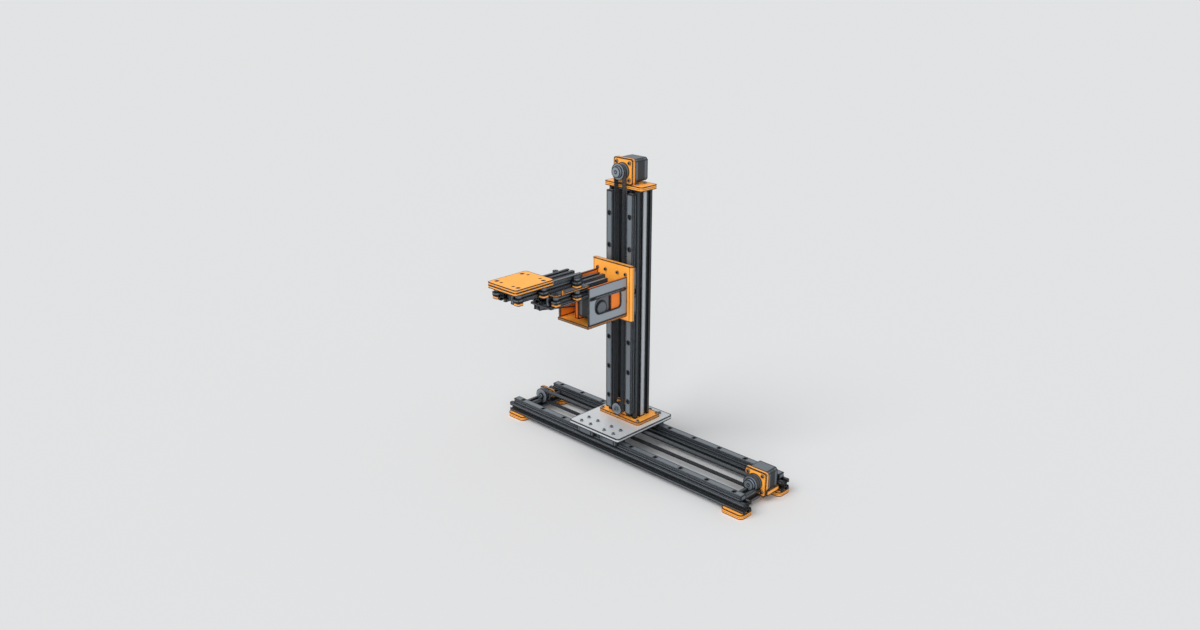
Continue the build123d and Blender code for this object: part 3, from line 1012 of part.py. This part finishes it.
# Tray: two layers on four shoes, pulled by a clamp on the cascade belt
def tray():
    layer = upright_slab(CARRIAGE_X - TRAY_HALF, CARRIAGE_X + TRAY_HALF, TRAY_FRONT, TRAY_BACK,
                         TRAY_BOTTOM, TRAY_BOTTOM + TRAY_LAYER, SOFT_CORNER_R, "Z")
    top = TRAY_BOTTOM + 2 * TRAY_LAYER
    middle = (TRAY_FRONT + TRAY_BACK) / 2
    bolts = grid(CARRIAGE_X, middle, TRAY_BOLT_X, TRAY_BOLT_Y)
    layer = drill(layer, bolts, "Z", TRAY_BOLT_R, TRAY_BOTTOM - 1, top + 1)
    spots = shoe_spots(TRAY_SHOES_Y)
    layer = drill(layer, spots, "Z", CLEAR_HOLE_R, TRAY_BOTTOM - 1, top + 1)
    seat = top - TRAY_SINK
    upper = Pos(0, 0, TRAY_LAYER) * layer
    upper = drill(upper, spots, "Z", HEAD_R + SINK_GAP, seat, top + 1)
    save("tray_layers", layer, upper)
    save("tray_shoes", shoe_set(TRAY_SHOES_Y, MID_TOP + TRAY_SHOE_LIFT, TRAY_BOTTOM, MID_TOP + CELL / 2))
    screw = cap_screw(seat - TRAY_BOTTOM + SHOE_TAP - 1)
    save("tray_screws", set_of(screw, [(x, y, seat) for x, y in spots], UP))
    half = (GAP_RIGHT - GAP_LEFT) / 2 - CLAMP_GAP
    belt_in = MID_AXLE_Z + MID_IDLER_DRUM_R + BELT_GAP
    belt_side = SLIM_BELT_WIDTH / 2 + CLAMP_GAP
    clamp = box(GAP_MIDDLE - half, GAP_MIDDLE + half, TRAY_CLAMP_Y - ANCHOR_HALF, TRAY_CLAMP_Y + ANCHOR_HALF,
                belt_in - BELT_GAP - SLIM_JAW, TRAY_BOTTOM)
    clamp -= box(GAP_MIDDLE - belt_side, GAP_MIDDLE + belt_side, TRAY_CLAMP_Y - 2 * ANCHOR_HALF,
                 TRAY_CLAMP_Y + 2 * ANCHOR_HALF, belt_in - BELT_GAP, belt_in + SLIM_BELT_THICK + BELT_GAP)
    save("tray_belt_clamp", clamp)


save("base_screws", floor_frame() + floor_drive())
plate_bolts, carriage_screws = carriage()
save("carriage_screws", carriage_screws + mast(plate_bolts))
save("lift_screws", lift() + fixed_stage())
middle_stage()
tray()
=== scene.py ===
import json
import math

import bpy
import numpy as np
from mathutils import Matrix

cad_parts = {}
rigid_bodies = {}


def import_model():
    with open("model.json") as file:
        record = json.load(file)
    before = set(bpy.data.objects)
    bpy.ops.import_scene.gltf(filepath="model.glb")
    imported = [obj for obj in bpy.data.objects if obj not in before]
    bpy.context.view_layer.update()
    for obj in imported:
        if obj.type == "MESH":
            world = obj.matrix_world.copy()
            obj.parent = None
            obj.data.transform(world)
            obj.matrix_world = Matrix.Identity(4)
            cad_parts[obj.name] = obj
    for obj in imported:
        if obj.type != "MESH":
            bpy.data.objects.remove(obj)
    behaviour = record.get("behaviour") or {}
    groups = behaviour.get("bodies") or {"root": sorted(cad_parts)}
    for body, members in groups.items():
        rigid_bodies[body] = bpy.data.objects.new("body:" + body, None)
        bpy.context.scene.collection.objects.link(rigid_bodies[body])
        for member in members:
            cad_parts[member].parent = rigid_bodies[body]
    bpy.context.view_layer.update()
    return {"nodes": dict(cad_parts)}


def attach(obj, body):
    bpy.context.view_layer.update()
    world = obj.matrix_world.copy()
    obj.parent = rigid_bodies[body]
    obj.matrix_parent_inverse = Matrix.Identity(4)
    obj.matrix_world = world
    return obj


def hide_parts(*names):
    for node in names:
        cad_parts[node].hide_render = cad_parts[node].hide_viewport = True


for leftover in list(bpy.data.objects):
    bpy.data.objects.remove(leftover)

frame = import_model()

MM = 0.001

# Colours of the printed plastic and of what is on it, as sRGB hex
PRINT_TONE = "FFAA40"
# Deeper orange: painted shade for faces turned away from the light
SHADED_PRINT_TONE = "EC7C20"
MOTTLE_TONE = "8A4A1C"
SEAM_TONE = "6A3A20"
PRINT_RIM = "1E140E"
STRIP_TONE = "C8641E"
TAPE_TONE = "59616A"

# Colour of the painted highlight on the middle lands of the columns
LAND_HIGHLIGHT_TONE = "B4BAC0"

# Cosine of the turn of the rounded normal at which an edge's dark line starts, and at which it is full
EDGE_STARTS = 0.999
EDGE_FULL = 0.984

# Share of the open sky at which painted shade in a hollow starts, and at which it is darkest
HOLLOW_STARTS = 0.7
HOLLOW_FULL = 0.3

# Blender's band wave of scale 1 repeats over this length
WAVE_LENGTH = math.pi / 10

# Pitch in millimetres at which the print's 0.2 mm layers and the motors' 0.5 mm laminations are drawn
LAYER_PITCH = 0.8
LAMINATION_PITCH = 1.0

# Size in millimetres of the print's soft mottling
MOTTLE_GRAIN = 16.67


def colour(text):
    """An sRGB hex colour as linear RGBA."""
    parts = [int(text[i:i + 2], 16) / 255 for i in (0, 2, 4)]
    linear = [p / 12.92 if p <= 0.04045 else ((p + 0.055) / 1.055) ** 2.4 for p in parts]
    return (*linear, 1.0)


def add(tree, kind, links=None, **settings):
    """Add one node with its settings; each link is an input and the socket or plain value that feeds it."""
    made = tree.nodes.new(kind)
    for name, value in settings.items():
        setattr(made, name, value)
    for socket, source in (links or {}).items():
        if isinstance(source, bpy.types.NodeSocket):
            tree.links.new(source, made.inputs[socket])
        else:
            made.inputs[socket].default_value = source
    return made


def fresh(name):
    """An empty material with its output node."""
    material = bpy.data.materials.new(name)
    material.use_nodes = True
    tree = material.node_tree
    tree.nodes.clear()
    return material, tree, tree.nodes.new("ShaderNodeOutputMaterial")


def edge_amount(tree, radius):
    """0 on a flat face, 1 at a sharp edge: how far the normal turns when it is rounded over the radius.
    The line is about half the radius wide on each side of the edge."""
    rounded = add(tree, "ShaderNodeBevel", {"Radius": radius}, samples=8)
    true = add(tree, "ShaderNodeNewGeometry")
    turn = add(tree, "ShaderNodeVectorMath", {0: rounded.outputs["Normal"], 1: true.outputs["Normal"]},
               operation="DOT_PRODUCT")
    return add(tree, "ShaderNodeMapRange",
               {"Value": turn.outputs["Value"], "From Min": EDGE_STARTS, "From Max": EDGE_FULL,
                "To Min": 0.0, "To Max": 1.0}).outputs["Result"]


def painted_shade_amount(tree, depth):
    """Painted shade: 0 in the open, 1 deep in a slot, socket or joint, from the share of the sky hidden
    within a depth.
    """
    sky = add(tree, "ShaderNodeAmbientOcclusion", {"Distance": depth}, samples=6)
    return add(tree, "ShaderNodeMapRange",
               {"Value": sky.outputs["AO"], "From Min": HOLLOW_STARTS, "From Max": HOLLOW_FULL,
                "To Min": 0.0, "To Max": 1.0}).outputs["Result"]


def region_amount(tree, bands):
    """1 inside all the bands, 0 outside. A band is an axis, a middle and a half width in millimetres."""
    place = add(tree, "ShaderNodeTexCoord").outputs["Object"]
    split = add(tree, "ShaderNodeSeparateXYZ", {0: place})
    inside = 1.0
    for axis, middle, half in bands:
        off = add(tree, "ShaderNodeMath", {0: split.outputs[axis], 1: middle * MM}, operation="SUBTRACT")
        away = add(tree, "ShaderNodeMath", {0: off.outputs[0]}, operation="ABSOLUTE")
        near = add(tree, "ShaderNodeMath", {0: away.outputs[0], 1: half * MM}, operation="LESS_THAN")
        inside = add(tree, "ShaderNodeMath", {0: inside, 1: near.outputs[0]}, operation="MULTIPLY").outputs[0]
    return inside


def blend_colours(tree, amount, first, second):
    """Mix two colours by an amount."""
    mix = add(tree, "ShaderNodeMix", {0: amount}, data_type="RGBA")
    for index, value in ((6, first), (7, second)):
        if isinstance(value, bpy.types.NodeSocket):
            tree.links.new(value, mix.inputs[index])
        else:
            mix.inputs[index].default_value = value
    return mix.outputs[2]


def patched(tree, tone, patches):
    """A colour with patches of other colours on it, each a list of bands and an sRGB hex colour."""
    for bands, patch in patches:
        tone = blend_colours(tree, region_amount(tree, bands), tone, colour(patch))
    return tone


def streaks(tree, fine, across, along):
    """Noise whose grains have the given size in metres: along one axis, and across it on the other two."""
    place = add(tree, "ShaderNodeTexCoord").outputs["Object"]
    size = [1 / (along if axis == fine else across) for axis in "XYZ"]
    scaled = add(tree, "ShaderNodeMapping", {"Vector": place, "Scale": size})
    return add(tree, "ShaderNodeTexNoise", {"Vector": scaled.outputs["Vector"], "Scale": 1.0, "Detail": 3.0,
                                            "Roughness": 0.6}).outputs["Fac"]


def stacked_lines(tree, axis, pitch):
    """Lines of stacked layers or sheets: a wave of the given pitch in millimetres along an axis."""
    place = add(tree, "ShaderNodeTexCoord").outputs["Object"]
    return add(tree, "ShaderNodeTexWave", {"Vector": place, "Scale": WAVE_LENGTH / (pitch * MM),
                                           "Distortion": 0.0},
               wave_type="BANDS", bands_direction=axis).outputs["Fac"]


def printed_plastic(name, patches=(), body=PRINT_TONE, edge=5.0):
    """Printed PETG: satin plastic built in thin layers, drawn coarser than they are so that they show,
    slightly mottled, dark along the edges where the outline wall turns and grime stays. Patches are the
    brown seams where printed halves meet or a wall starts to turn, slide tape, or painted shade in a deeper
    orange."""
    material, tree, output = fresh(name)
    place = add(tree, "ShaderNodeTexCoord").outputs["Object"]
    mottle = add(tree, "ShaderNodeTexNoise", {"Vector": place, "Scale": 1 / (MOTTLE_GRAIN * MM),
                                              "Detail": 4.0}).outputs["Fac"]
    soft = add(tree, "ShaderNodeMapRange", {"Value": mottle, "From Min": 0.3, "From Max": 0.7,
                                            "To Min": 0.0, "To Max": 0.07}).outputs["Result"]
    tone = blend_colours(tree, soft, colour(body), colour(MOTTLE_TONE))
    tone = patched(tree, tone, patches)
    tone = blend_colours(tree, edge_amount(tree, edge * MM), tone, colour(PRINT_RIM))
    lines = stacked_lines(tree, "Z", LAYER_PITCH)
    bump = add(tree, "ShaderNodeBump", {"Height": lines, "Strength": 0.25, "Distance": 0.1 * MM})
    rough = add(tree, "ShaderNodeMapRange", {"Value": mottle, "To Min": 0.42,
                                             "To Max": 0.6}).outputs["Result"]
    shader = add(tree, "ShaderNodeBsdfPrincipled", {"Base Color": tone, "Roughness": rough, "IOR": 1.5,
                                                    "Normal": bump.outputs["Normal"]})
    tree.links.new(shader.outputs["BSDF"], output.inputs["Surface"])
    return material


def worked_metal(name, body, rim, metallic, roughness, grain, across, along, edge=4.6, contrast=0.25,
                 shade_depth=3.0, patches=(), foot=None, strip=None):
    """Machined, drawn or anodised metal: fine lines along its working direction, whose size is in
    millimetres, dark along its arrises, where oil and grime stay, with painted shade deep in its slots and
    sockets. Patches are painted highlights. Foot is the region of a printed orange foot, strip that of a
    printed edge strip."""
    material, tree, output = fresh(name)
    lines = streaks(tree, grain, across * MM, along * MM)
    shade = add(tree, "ShaderNodeMapRange", {"Value": lines, "From Min": 0.3, "From Max": 0.7, "To Min": 0.0,
                                             "To Max": contrast}).outputs["Result"]
    tone = blend_colours(tree, shade, colour(body), colour(rim))
    # Painted highlights on the patches
    tone = patched(tree, tone, patches)
    metal = metallic
    if foot:
        printed = region_amount(tree, foot)
        tone = blend_colours(tree, printed, tone, colour(PRINT_TONE))
        bare = add(tree, "ShaderNodeMath", {0: 1.0, 1: printed}, operation="SUBTRACT").outputs[0]
        metal = add(tree, "ShaderNodeMath", {0: bare, 1: metallic}, operation="MULTIPLY").outputs[0]
    # Painted shade deep in slots, sockets and joints, from the share of the sky they miss
    tone = blend_colours(tree, painted_shade_amount(tree, shade_depth * MM), tone, colour(rim))
    tone = blend_colours(tree, edge_amount(tree, edge * MM), tone, colour(rim))
    if strip:
        tone = blend_colours(tree, region_amount(tree, strip), tone, colour(STRIP_TONE))
    bump = add(tree, "ShaderNodeBump", {"Height": lines, "Strength": 0.3, "Distance": 0.08 * MM})
    rough = add(tree, "ShaderNodeMapRange", {"Value": lines, "To Min": roughness - 0.06,
                                             "To Max": roughness + 0.08}).outputs["Result"]
    shader = add(tree, "ShaderNodeBsdfPrincipled", {"Base Color": tone, "Roughness": rough,
                                                    "Metallic": metal, "Normal": bump.outputs["Normal"]})
    tree.links.new(shader.outputs["BSDF"], output.inputs["Surface"])
    return material


def moulded_rubber(name):
    """Neoprene belt with a nylon face: dark and matt, with fine cords, and black in the gaps between
    its ribs and teeth."""
    material, tree, output = fresh(name)
    weave = streaks(tree, "Y", 0.5 * MM, 3.0 * MM)
    tone = blend_colours(tree, weave, colour("4A5158"), colour("6A727A"))
    tone = blend_colours(tree, edge_amount(tree, 1.8 * MM), tone, colour("0A0D11"))
    bump = add(tree, "ShaderNodeBump", {"Height": weave, "Strength": 0.3, "Distance": 0.1 * MM})
    shader = add(tree, "ShaderNodeBsdfPrincipled", {"Base Color": tone, "Roughness": 0.62, "IOR": 1.5,
                                                    "Normal": bump.outputs["Normal"]})
    tree.links.new(shader.outputs["BSDF"], output.inputs["Surface"])
    return material


def stepper_body(name, axis, face, length, cap):
    """Stepper motor: cast end caps in satin grey and between them a black painted stack of laminations,
    drawn coarser than they are so that they show, with painted light on all that faces up. Axis,
    face, length and cap are the motor's own, in millimetres."""
    material, tree, output = fresh(name)
    in_stack = region_amount(tree, [(axis, face + length / 2, length / 2 - cap)])
    lines = stacked_lines(tree, axis, LAMINATION_PITCH)
    stack = blend_colours(tree, lines, colour("1C2024"), colour("2C3136"))
    tone = blend_colours(tree, in_stack, colour("5A6168"), stack)
    # Painted light: all that faces up is painted paler
    normal = add(tree, "ShaderNodeNewGeometry").outputs["Normal"]
    upward = add(tree, "ShaderNodeSeparateXYZ", {0: normal}).outputs["Z"]
    painted_top_light = add(tree, "ShaderNodeMapRange", {"Value": upward, "From Min": 0.6,
                                            "From Max": 0.95}).outputs["Result"]
    tone = blend_colours(tree, painted_top_light, tone, colour("5E656C"))
    tone = blend_colours(tree, edge_amount(tree, 4.4 * MM), tone, colour("0C1014"))
    bump = add(tree, "ShaderNodeBump", {"Height": lines, "Strength": 0.3, "Distance": 0.15 * MM})
    shader = add(tree, "ShaderNodeBsdfPrincipled", {"Base Color": tone, "Roughness": 0.6, "IOR": 1.5,
                                                    "Normal": bump.outputs["Normal"]})
    tree.links.new(shader.outputs["BSDF"], output.inputs["Surface"])
    return material


def seam(axis, middle):
    """A brown line round a printed piece at a place on an axis, in millimetres."""
    return [(axis, middle, SEAM_HALF)], SEAM_TONE


# A seam's half width in millimetres
SEAM_HALF = 0.55

# Regions on the printed pieces, as an axis, a middle and a half width in millimetres
TAPE = [("Z", 357.4, 0.2)]
# The cheek: painted shade in the deeper orange, on the box floor beside the right wall
CHEEK = [("X", -14.5, 1.6), ("Z", 307.0, 23.8)]
SEAMS = {"feet": [seam("Z", 4.0)],
         "mast_base_plate": [seam("Z", 57.6)],
         "mast_top_plate": [seam("Z", 508.6)],
         "box_floor": [seam("Z", 280.5), (CHEEK, SHADED_PRINT_TONE)],
         "lift_plate": [seam("Y", -22.6), seam("X", -3.4), seam("X", -92.6)]}

# Regions on the metal pieces in the same way: the wall's edge strip, the columns' middle lands and the
# shoes' pressed feet, each with the name of its steel and the foot's middle height
WALL_STRIP = [("Z", 353.5, 0.25)]
MIDDLE_LAND = [("Y", 22.0, 5.5)]
FOOT_HALF = 2.55
FOOT_MIDDLES = {"mid_shoes": ("mid", 337.45),
                "tray_shoes": ("tray", 360.45),
                "mid_beam_holders": ("holder", 359.85)}

# Printed PETG: satin orange with fine level lines. One copy is painted deeper, as painted shade, for the
# box's left wall and the arm motor's bracket, and the middle plate has grey slide tape on its top.
ORANGE = printed_plastic("printed_petg_orange")
SHADED_ORANGE = printed_plastic("printed_petg_orange_painted_shade", body=SHADED_PRINT_TONE)
TAPED_ORANGE = printed_plastic("printed_petg_orange_taped", [(TAPE, TAPE_TONE)], edge=3.6)
LAYERED_ORANGE = printed_plastic("printed_petg_orange_layered", edge=3.6)
SEAMED = {node: printed_plastic(f"printed_petg_orange_{node}", patches, edge=3.8)
          for node, patches in SEAMS.items()}

# Brushed aluminium plate: pale and soft, with the faintest of lines
SILVER = worked_metal("brushed_aluminium_plate", "CED2D6", "14181D", metallic=0.4, roughness=0.45,
                      grain="X", across=0.5, along=40, contrast=0.03)

# Blasted aluminium sheet: even mid grey with a fine grit and no direction
GREY = worked_metal("blasted_aluminium_sheet", "949CA4", "12161B", metallic=0.3, roughness=0.5,
                    grain="Y", across=0.8, along=0.8, contrast=0.06, strip=WALL_STRIP)

# Dark anodised extrusion: satin slate grey with long drawn lines, and painted shade that makes its slots
# black.
# The columns are painted darker, as painted shade on their upright sides, with a painted highlight on their
# middle lands.
BAR_LOOKS = {"X": ("747C84", ()), "Y": ("747C84", ()), "Z": ("5C646C", [(MIDDLE_LAND, LAND_HIGHLIGHT_TONE)])}
BAR = {axis: worked_metal(f"dark_anodised_extrusion_{axis.lower()}", tone, "06090C", metallic=0.5,
                          roughness=0.5, grain=axis, across=0.6, along=60, edge=5.4, contrast=0.15,
                          shade_depth=11.0, patches=patches)
       for axis, (tone, patches) in BAR_LOOKS.items()}

# Ground rail steel: smooth grey with fine lines along the rail
RAIL = {axis: worked_metal(f"ground_rail_steel_{axis.lower()}", "767E86", "0A0E12", metallic=0.5,
                           roughness=0.42, grain=axis, across=0.3, along=30, edge=5.0, contrast=0.12,
                           shade_depth=5.0)
        for axis in "XYZ"}

# Oiled block steel: darker, with short milled lines
BLOCK = worked_metal("oiled_block_steel", "6C747C", "0E1216", metallic=0.6, roughness=0.44,
                     grain="X", across=0.5, along=12, edge=3.8)

# Turned shoe steel: dark, with fine rings, and a pressed foot of orange print
SHOES = {node: worked_metal(f"turned_shoe_steel_{name}", "6C747C", "0E1216", metallic=0.6, roughness=0.44,
                            grain="Z", across=0.5, along=2, edge=3.2, foot=[("Z", middle, FOOT_HALF)])
         for node, (name, middle) in FOOT_MIDDLES.items()}

# Zinc plated screw steel: small bright heads, with painted shade in their sockets
SCREW = worked_metal("zinc_plated_screw_steel", "868E96", "0C1014", metallic=0.6, roughness=0.4,
                     grain="Z", across=0.4, along=2, edge=1.4, contrast=0.1, shade_depth=1.6)

# Turned aluminium: mid grey and smooth, with painted shade between the teeth
PULLEY = worked_metal("turned_aluminium_pulley", "8C949C", "12161B", metallic=0.6, roughness=0.38,
                      grain="Y", across=0.5, along=4, edge=2.6, contrast=0.1, shade_depth=2.5)

# Moulded neoprene: matt dark grey
RUBBER = moulded_rubber("neoprene_belt")

# Painted laminations between cast caps. Each motor: axis, place of its front face, length, cap's thickness
MOTORS = {"x_motor": stepper_body("stepper_x", "Y", 15.5, 28, 7),
          "z_motor": stepper_body("stepper_z", "Y", 9, 34, 8),
          "arm_motor": stepper_body("stepper_arm", "X", -50, 34, 8)}

SHARED_FINISHES = (
    (ORANGE, ("x_motor_bracket", "x_idler_bracket", "z_motor_bracket", "z_idler_bracket", "x_belt_clamp",
              "z_belt_clamp", "arm_belt_clamp", "tray_belt_clamp", "cascade_anchor")),
    (SHADED_ORANGE, ("box_left_wall", "arm_motor_bracket")),
    (TAPED_ORANGE, ("mid_plate",)),
    (LAYERED_ORANGE, ("tray_layers",)),
    (SILVER, ("carriage_plate",)),
    (GREY, ("box_right_wall", "stage_plate")),
    (BAR["X"], ("long_extrusions",)),
    (BAR["Y"], ("left_cross_extrusion", "right_cross_extrusion", "fixed_beam", "mid_beam")),
    (BAR["Z"], ("mast_columns",)),
    (RAIL["X"], ("base_rails",)),
    (RAIL["Y"], ("fixed_guide", "mid_guide")),
    (RAIL["Z"], ("mast_rails",)),
    (BLOCK, ("x_blocks", "lift_blocks", "arm_idler_holders")),
    (SCREW, ("base_screws", "carriage_screws", "lift_screws", "tray_screws", "mid_pins_and_screws",
             "x_motor_shaft", "z_motor_shaft")),
    (PULLEY, ("x_drive_pulley", "x_idler_pulley", "z_drive_pulley", "z_idler_pulley", "arm_drive_pulley",
              "arm_idler_front", "arm_idler_rear", "mid_idler_front", "mid_idler_rear")),
    (RUBBER, ("x_belt", "z_belt", "arm_belt", "cascade_belt")),
)


def dress(node, material):
    """Give a CAD node its material."""
    mesh = frame["nodes"][node].data
    mesh.materials.clear()
    mesh.materials.append(material)


for finish, dressed in SHARED_FINISHES:
    for node_name in dressed:
        dress(node_name, finish)
for node_name, finish in {**SEAMED, **SHOES, **MOTORS}.items():
    dress(node_name, finish)


# One tooth and gap of a belt: shares of the pitch, and how much of the tooth's depth is there
TOOTH_SHARES = np.array([0.0, 0.18, 0.30, 0.62, 0.74, 0.92])
TOOTH_HEIGHTS = np.array([1.0, 1.0, 0.0, 0.0, 1.0, 1.0])

# Depth of the shallow grooves in a belt's outer face, as a share of the teeth's depth
GROOVE_SHARE = 0.3

# Belt sizes in millimetres: thickness, width, pitch and depth of the teeth
WIDE_BELT = (2, 10, 3, 0.9)
NARROW_BELT = (1.2, 6, 2, 0.5)


def loop_path(circles, s):
    """Points and outward normals of a belt line round some circles at distances s along it, and its length.
    The line is the tangents to neighbouring circles joined by arcs of each circle."""
    places = np.array([c[:2] for c in circles], float)
    radii = np.array([c[2] for c in circles], float)
    next_radii = np.roll(radii, -1)
    ahead = np.roll(places, -1, 0) - places
    gaps = np.hypot(*ahead.T)
    side = np.arctan2(ahead[:, 1], ahead[:, 0]) - np.pi / 2 - np.arcsin((next_radii - radii) / gaps)
    out = np.stack([np.cos(side), np.sin(side)], 1)
    starts = places + out * radii[:, None]
    ends = np.roll(places, -1, 0) + out * next_radii[:, None]
    runs = np.hypot(*(ends - starts).T)
    arcs = (np.roll(side, -1) - side) % (2 * np.pi) * next_radii
    bounds = np.concatenate([[0], np.cumsum(np.stack([runs, arcs], 1).ravel())])
    s = s % bounds[-1]
    point = np.zeros((len(s), 2))
    normal = np.zeros((len(s), 2))
    for i in range(len(circles)):
        on_run = (s >= bounds[2 * i]) & (s < bounds[2 * i + 1])
        share = ((s[on_run] - bounds[2 * i]) / runs[i])[:, None]
        point[on_run] = starts[i] + (ends[i] - starts[i]) * share
        normal[on_run] = out[i]
        on_arc = (s >= bounds[2 * i + 1]) & (s <= bounds[2 * i + 2])
        j = (i + 1) % len(circles)
        angle = side[i] + (s[on_arc] - bounds[2 * i + 1]) / radii[j]
        normal[on_arc] = np.stack([np.cos(angle), np.sin(angle)], 1)
        point[on_arc] = places[j] + normal[on_arc] * radii[j]
    return point, normal, bounds[-1]


def turned_outwards(vertices, faces):
    """The four-sided faces of a closed shell, all turned round if it holds a negative volume: the sum over
    the faces of the middle point times half the cross product of the diagonals."""
    corners = vertices[faces]
    areas = np.cross(corners[:, 2] - corners[:, 0], corners[:, 3] - corners[:, 1]) / 2
    volume = (corners.mean(1) * areas).sum()
    return faces[:, ::-1] if volume < 0 else faces


def mesh_piece(name, vertices, faces):
    """An object at the origin whose mesh holds the given points and faces."""
    mesh = bpy.data.meshes.new(name)
    mesh.from_pydata(vertices.tolist(), [], faces.tolist())
    mesh.update()
    piece = bpy.data.objects.new(name, mesh)
    bpy.context.scene.collection.objects.link(piece)
    return piece


def toothed_belt(name, circles, size, to_space):
    """A closed toothed belt. Its inner face is the loop's line plus a row of trapezium teeth: the height
    over the root is depth times a pulse with sloped sides in the distance along the loop.
    Its outer face is the line moved out by the belt's thickness, less shallow grooves over the gaps."""
    circles = [tuple(value * MM for value in circle) for circle in circles]
    thick, width, pitch, depth = (value * MM for value in size)
    length = loop_path(circles, np.zeros(1))[2]
    teeth = int(round(length / pitch))
    s = ((np.arange(teeth)[:, None] + TOOTH_SHARES) * length / teeth).ravel()
    gap = 1 - np.tile(TOOTH_HEIGHTS, teeth)
    point, normal = loop_path(circles, s)[:2]
    inner = point + normal * (depth * gap)[:, None]
    outer = point + normal * (thick - GROOVE_SHARE * depth * gap)[:, None]
    half = width / 2
    rings = [to_space(inner, -half), to_space(outer, -half), to_space(outer, half), to_space(inner, half)]
    vertices = np.stack(rings, 1).reshape(-1, 3)
    count = len(s)
    here = np.arange(count)[:, None] * 4
    there = ((np.arange(count) + 1) % count)[:, None] * 4
    corner = np.arange(4)[None, :]
    following = (corner + 1) % 4
    faces = np.stack([here + corner, there + corner, there + following, here + following], 2).reshape(-1, 4)
    return mesh_piece(name, vertices, turned_outwards(vertices, faces))


def finish_piece(piece, material, body, slot, *nodes):
    """Material, body and the CAD nodes that a new piece stands for. The slot is not used."""
    piece.data.materials.append(material)
    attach(piece, body)
    if nodes:
        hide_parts(*nodes)


def upright_along_x(y):
    """Places a flat loop upright along X, its middle at a Y in millimetres."""
    return lambda points, side: np.stack([points[:, 0], np.full(len(points), y * MM + side), points[:, 1]], 1)


def upright_along_y(x):
    """Places a flat loop upright along Y, its middle at an X in millimetres."""
    return lambda points, side: np.stack([np.full(len(points), x * MM + side), points[:, 0], points[:, 1]], 1)


# Each belt: its circles as centre, height and radius in millimetres, size, place, body and CAD node
BELTS = {
    "floor_belt_toothed": (((-268, 32.5, 10.3), (268, 32.5, 10.3)), WIDE_BELT, upright_along_x(0),
                           "base", "x_belt"),
    "mast_belt_toothed": (((-48, 76.1, 8.7), (-48, 536.6, 8.7)), WIDE_BELT, upright_along_x(-6),
                          "x_carriage", "z_belt"),
    "arm_belt_toothed": (((-88, 308.5, 8.3), (-50, 322.5, 4.8), (-189, 322.5, 4.8)), NARROW_BELT,
                         upright_along_y(-67), "z_carriage", "arm_belt"),
    "cascade_belt_toothed": (((-270, 367.6, 6.3), (-128.5, 367.6, 6.3)), NARROW_BELT,
                             upright_along_y(-42), "arm_mid", "cascade_belt"),
}

for belt_name, (belt_circles, belt_size, belt_place, belt_body, cad_node) in BELTS.items():
    belt = toothed_belt(belt_name, belt_circles, belt_size, belt_place)
    finish_piece(belt, RUBBER, belt_body, "belt_rubber", cad_node)

# The floor's half width in metres, far more than the camera sees, and how far it lies below the feet
FLOOR_HALF = 40.0
FLOOR_DROP = 0.0002

# The sky's strength as light, and the suns: strength, turns about X, Y and Z, and softness, in degrees
SKY_STRENGTH = 0.62
SUNS = {"key_sun": (1.85, (38, 0, -15), 38), "side_sun": (1.2, (70, 0, 48), 36)}

# The camera's place in metres, its turns in degrees, and its lens in millimetres
EYE_PLACE = (1.2259, -1.3553, 0.9303)
EYE_TURNS = (70.28, 0.0, 44.47)
LENS = 31.75
SENSOR_WIDTH = 36.0
FAR_CLIP = 200.0


def studio_floor():
    """A wide flat floor in the picture's pale grey."""
    corners = [(-FLOOR_HALF, -FLOOR_HALF), (FLOOR_HALF, -FLOOR_HALF), (FLOOR_HALF, FLOOR_HALF),
               (-FLOOR_HALF, FLOOR_HALF)]
    vertices = np.array([(x, y, -FLOOR_DROP) for x, y in corners])
    floor = mesh_piece("studio_floor", vertices, np.array([[0, 1, 2, 3]]))
    material, tree, output = fresh("matt_studio_floor")
    shader = add(tree, "ShaderNodeBsdfDiffuse", {"Color": colour("CFD0D1")})
    tree.links.new(shader.outputs["BSDF"], output.inputs["Surface"])
    floor.data.materials.append(material)


def studio_light():
    """A pale even sky and two soft suns. Mirror-like rays see the pale background."""
    world = bpy.data.worlds.new("studio_sky")
    bpy.context.scene.world = world
    world.use_nodes = True
    tree = world.node_tree
    tree.nodes.clear()
    paths = add(tree, "ShaderNodeLightPath")
    seen = paths.outputs["Is Camera Ray"]
    for kind in ("Is Glossy Ray", "Is Transmission Ray"):
        seen = add(tree, "ShaderNodeMath", {0: seen, 1: paths.outputs[kind]}, operation="MAXIMUM").outputs[0]
    light = add(tree, "ShaderNodeBackground", {"Color": (1, 1, 1, 1), "Strength": SKY_STRENGTH})
    back = add(tree, "ShaderNodeBackground", {"Color": colour("E0E1E2"), "Strength": 1.0})
    both = add(tree, "ShaderNodeMixShader", {0: seen, 1: light.outputs[0], 2: back.outputs[0]})
    output = tree.nodes.new("ShaderNodeOutputWorld")
    tree.links.new(both.outputs[0], output.inputs["Surface"])
    for name, (strength, turns, softness) in SUNS.items():
        lamp = bpy.data.lights.new(name, "SUN")
        lamp.energy = strength
        lamp.angle = math.radians(softness)
        sun = bpy.data.objects.new(name, lamp)
        sun.rotation_euler = [math.radians(turn) for turn in turns]
        bpy.context.scene.collection.objects.link(sun)


def camera():
    """The picture's own viewpoint, solved from the object's straight edges."""
    lens = bpy.data.cameras.new("viewpoint")
    lens.lens = LENS
    lens.sensor_width = SENSOR_WIDTH
    lens.clip_end = FAR_CLIP
    eye = bpy.data.objects.new("viewpoint", lens)
    eye.location = EYE_PLACE
    eye.rotation_euler = [math.radians(turn) for turn in EYE_TURNS]
    bpy.context.scene.collection.objects.link(eye)
    bpy.context.scene.camera = eye


studio_floor()
studio_light()
camera()
bpy.context.scene.view_settings.view_transform = "Standard"
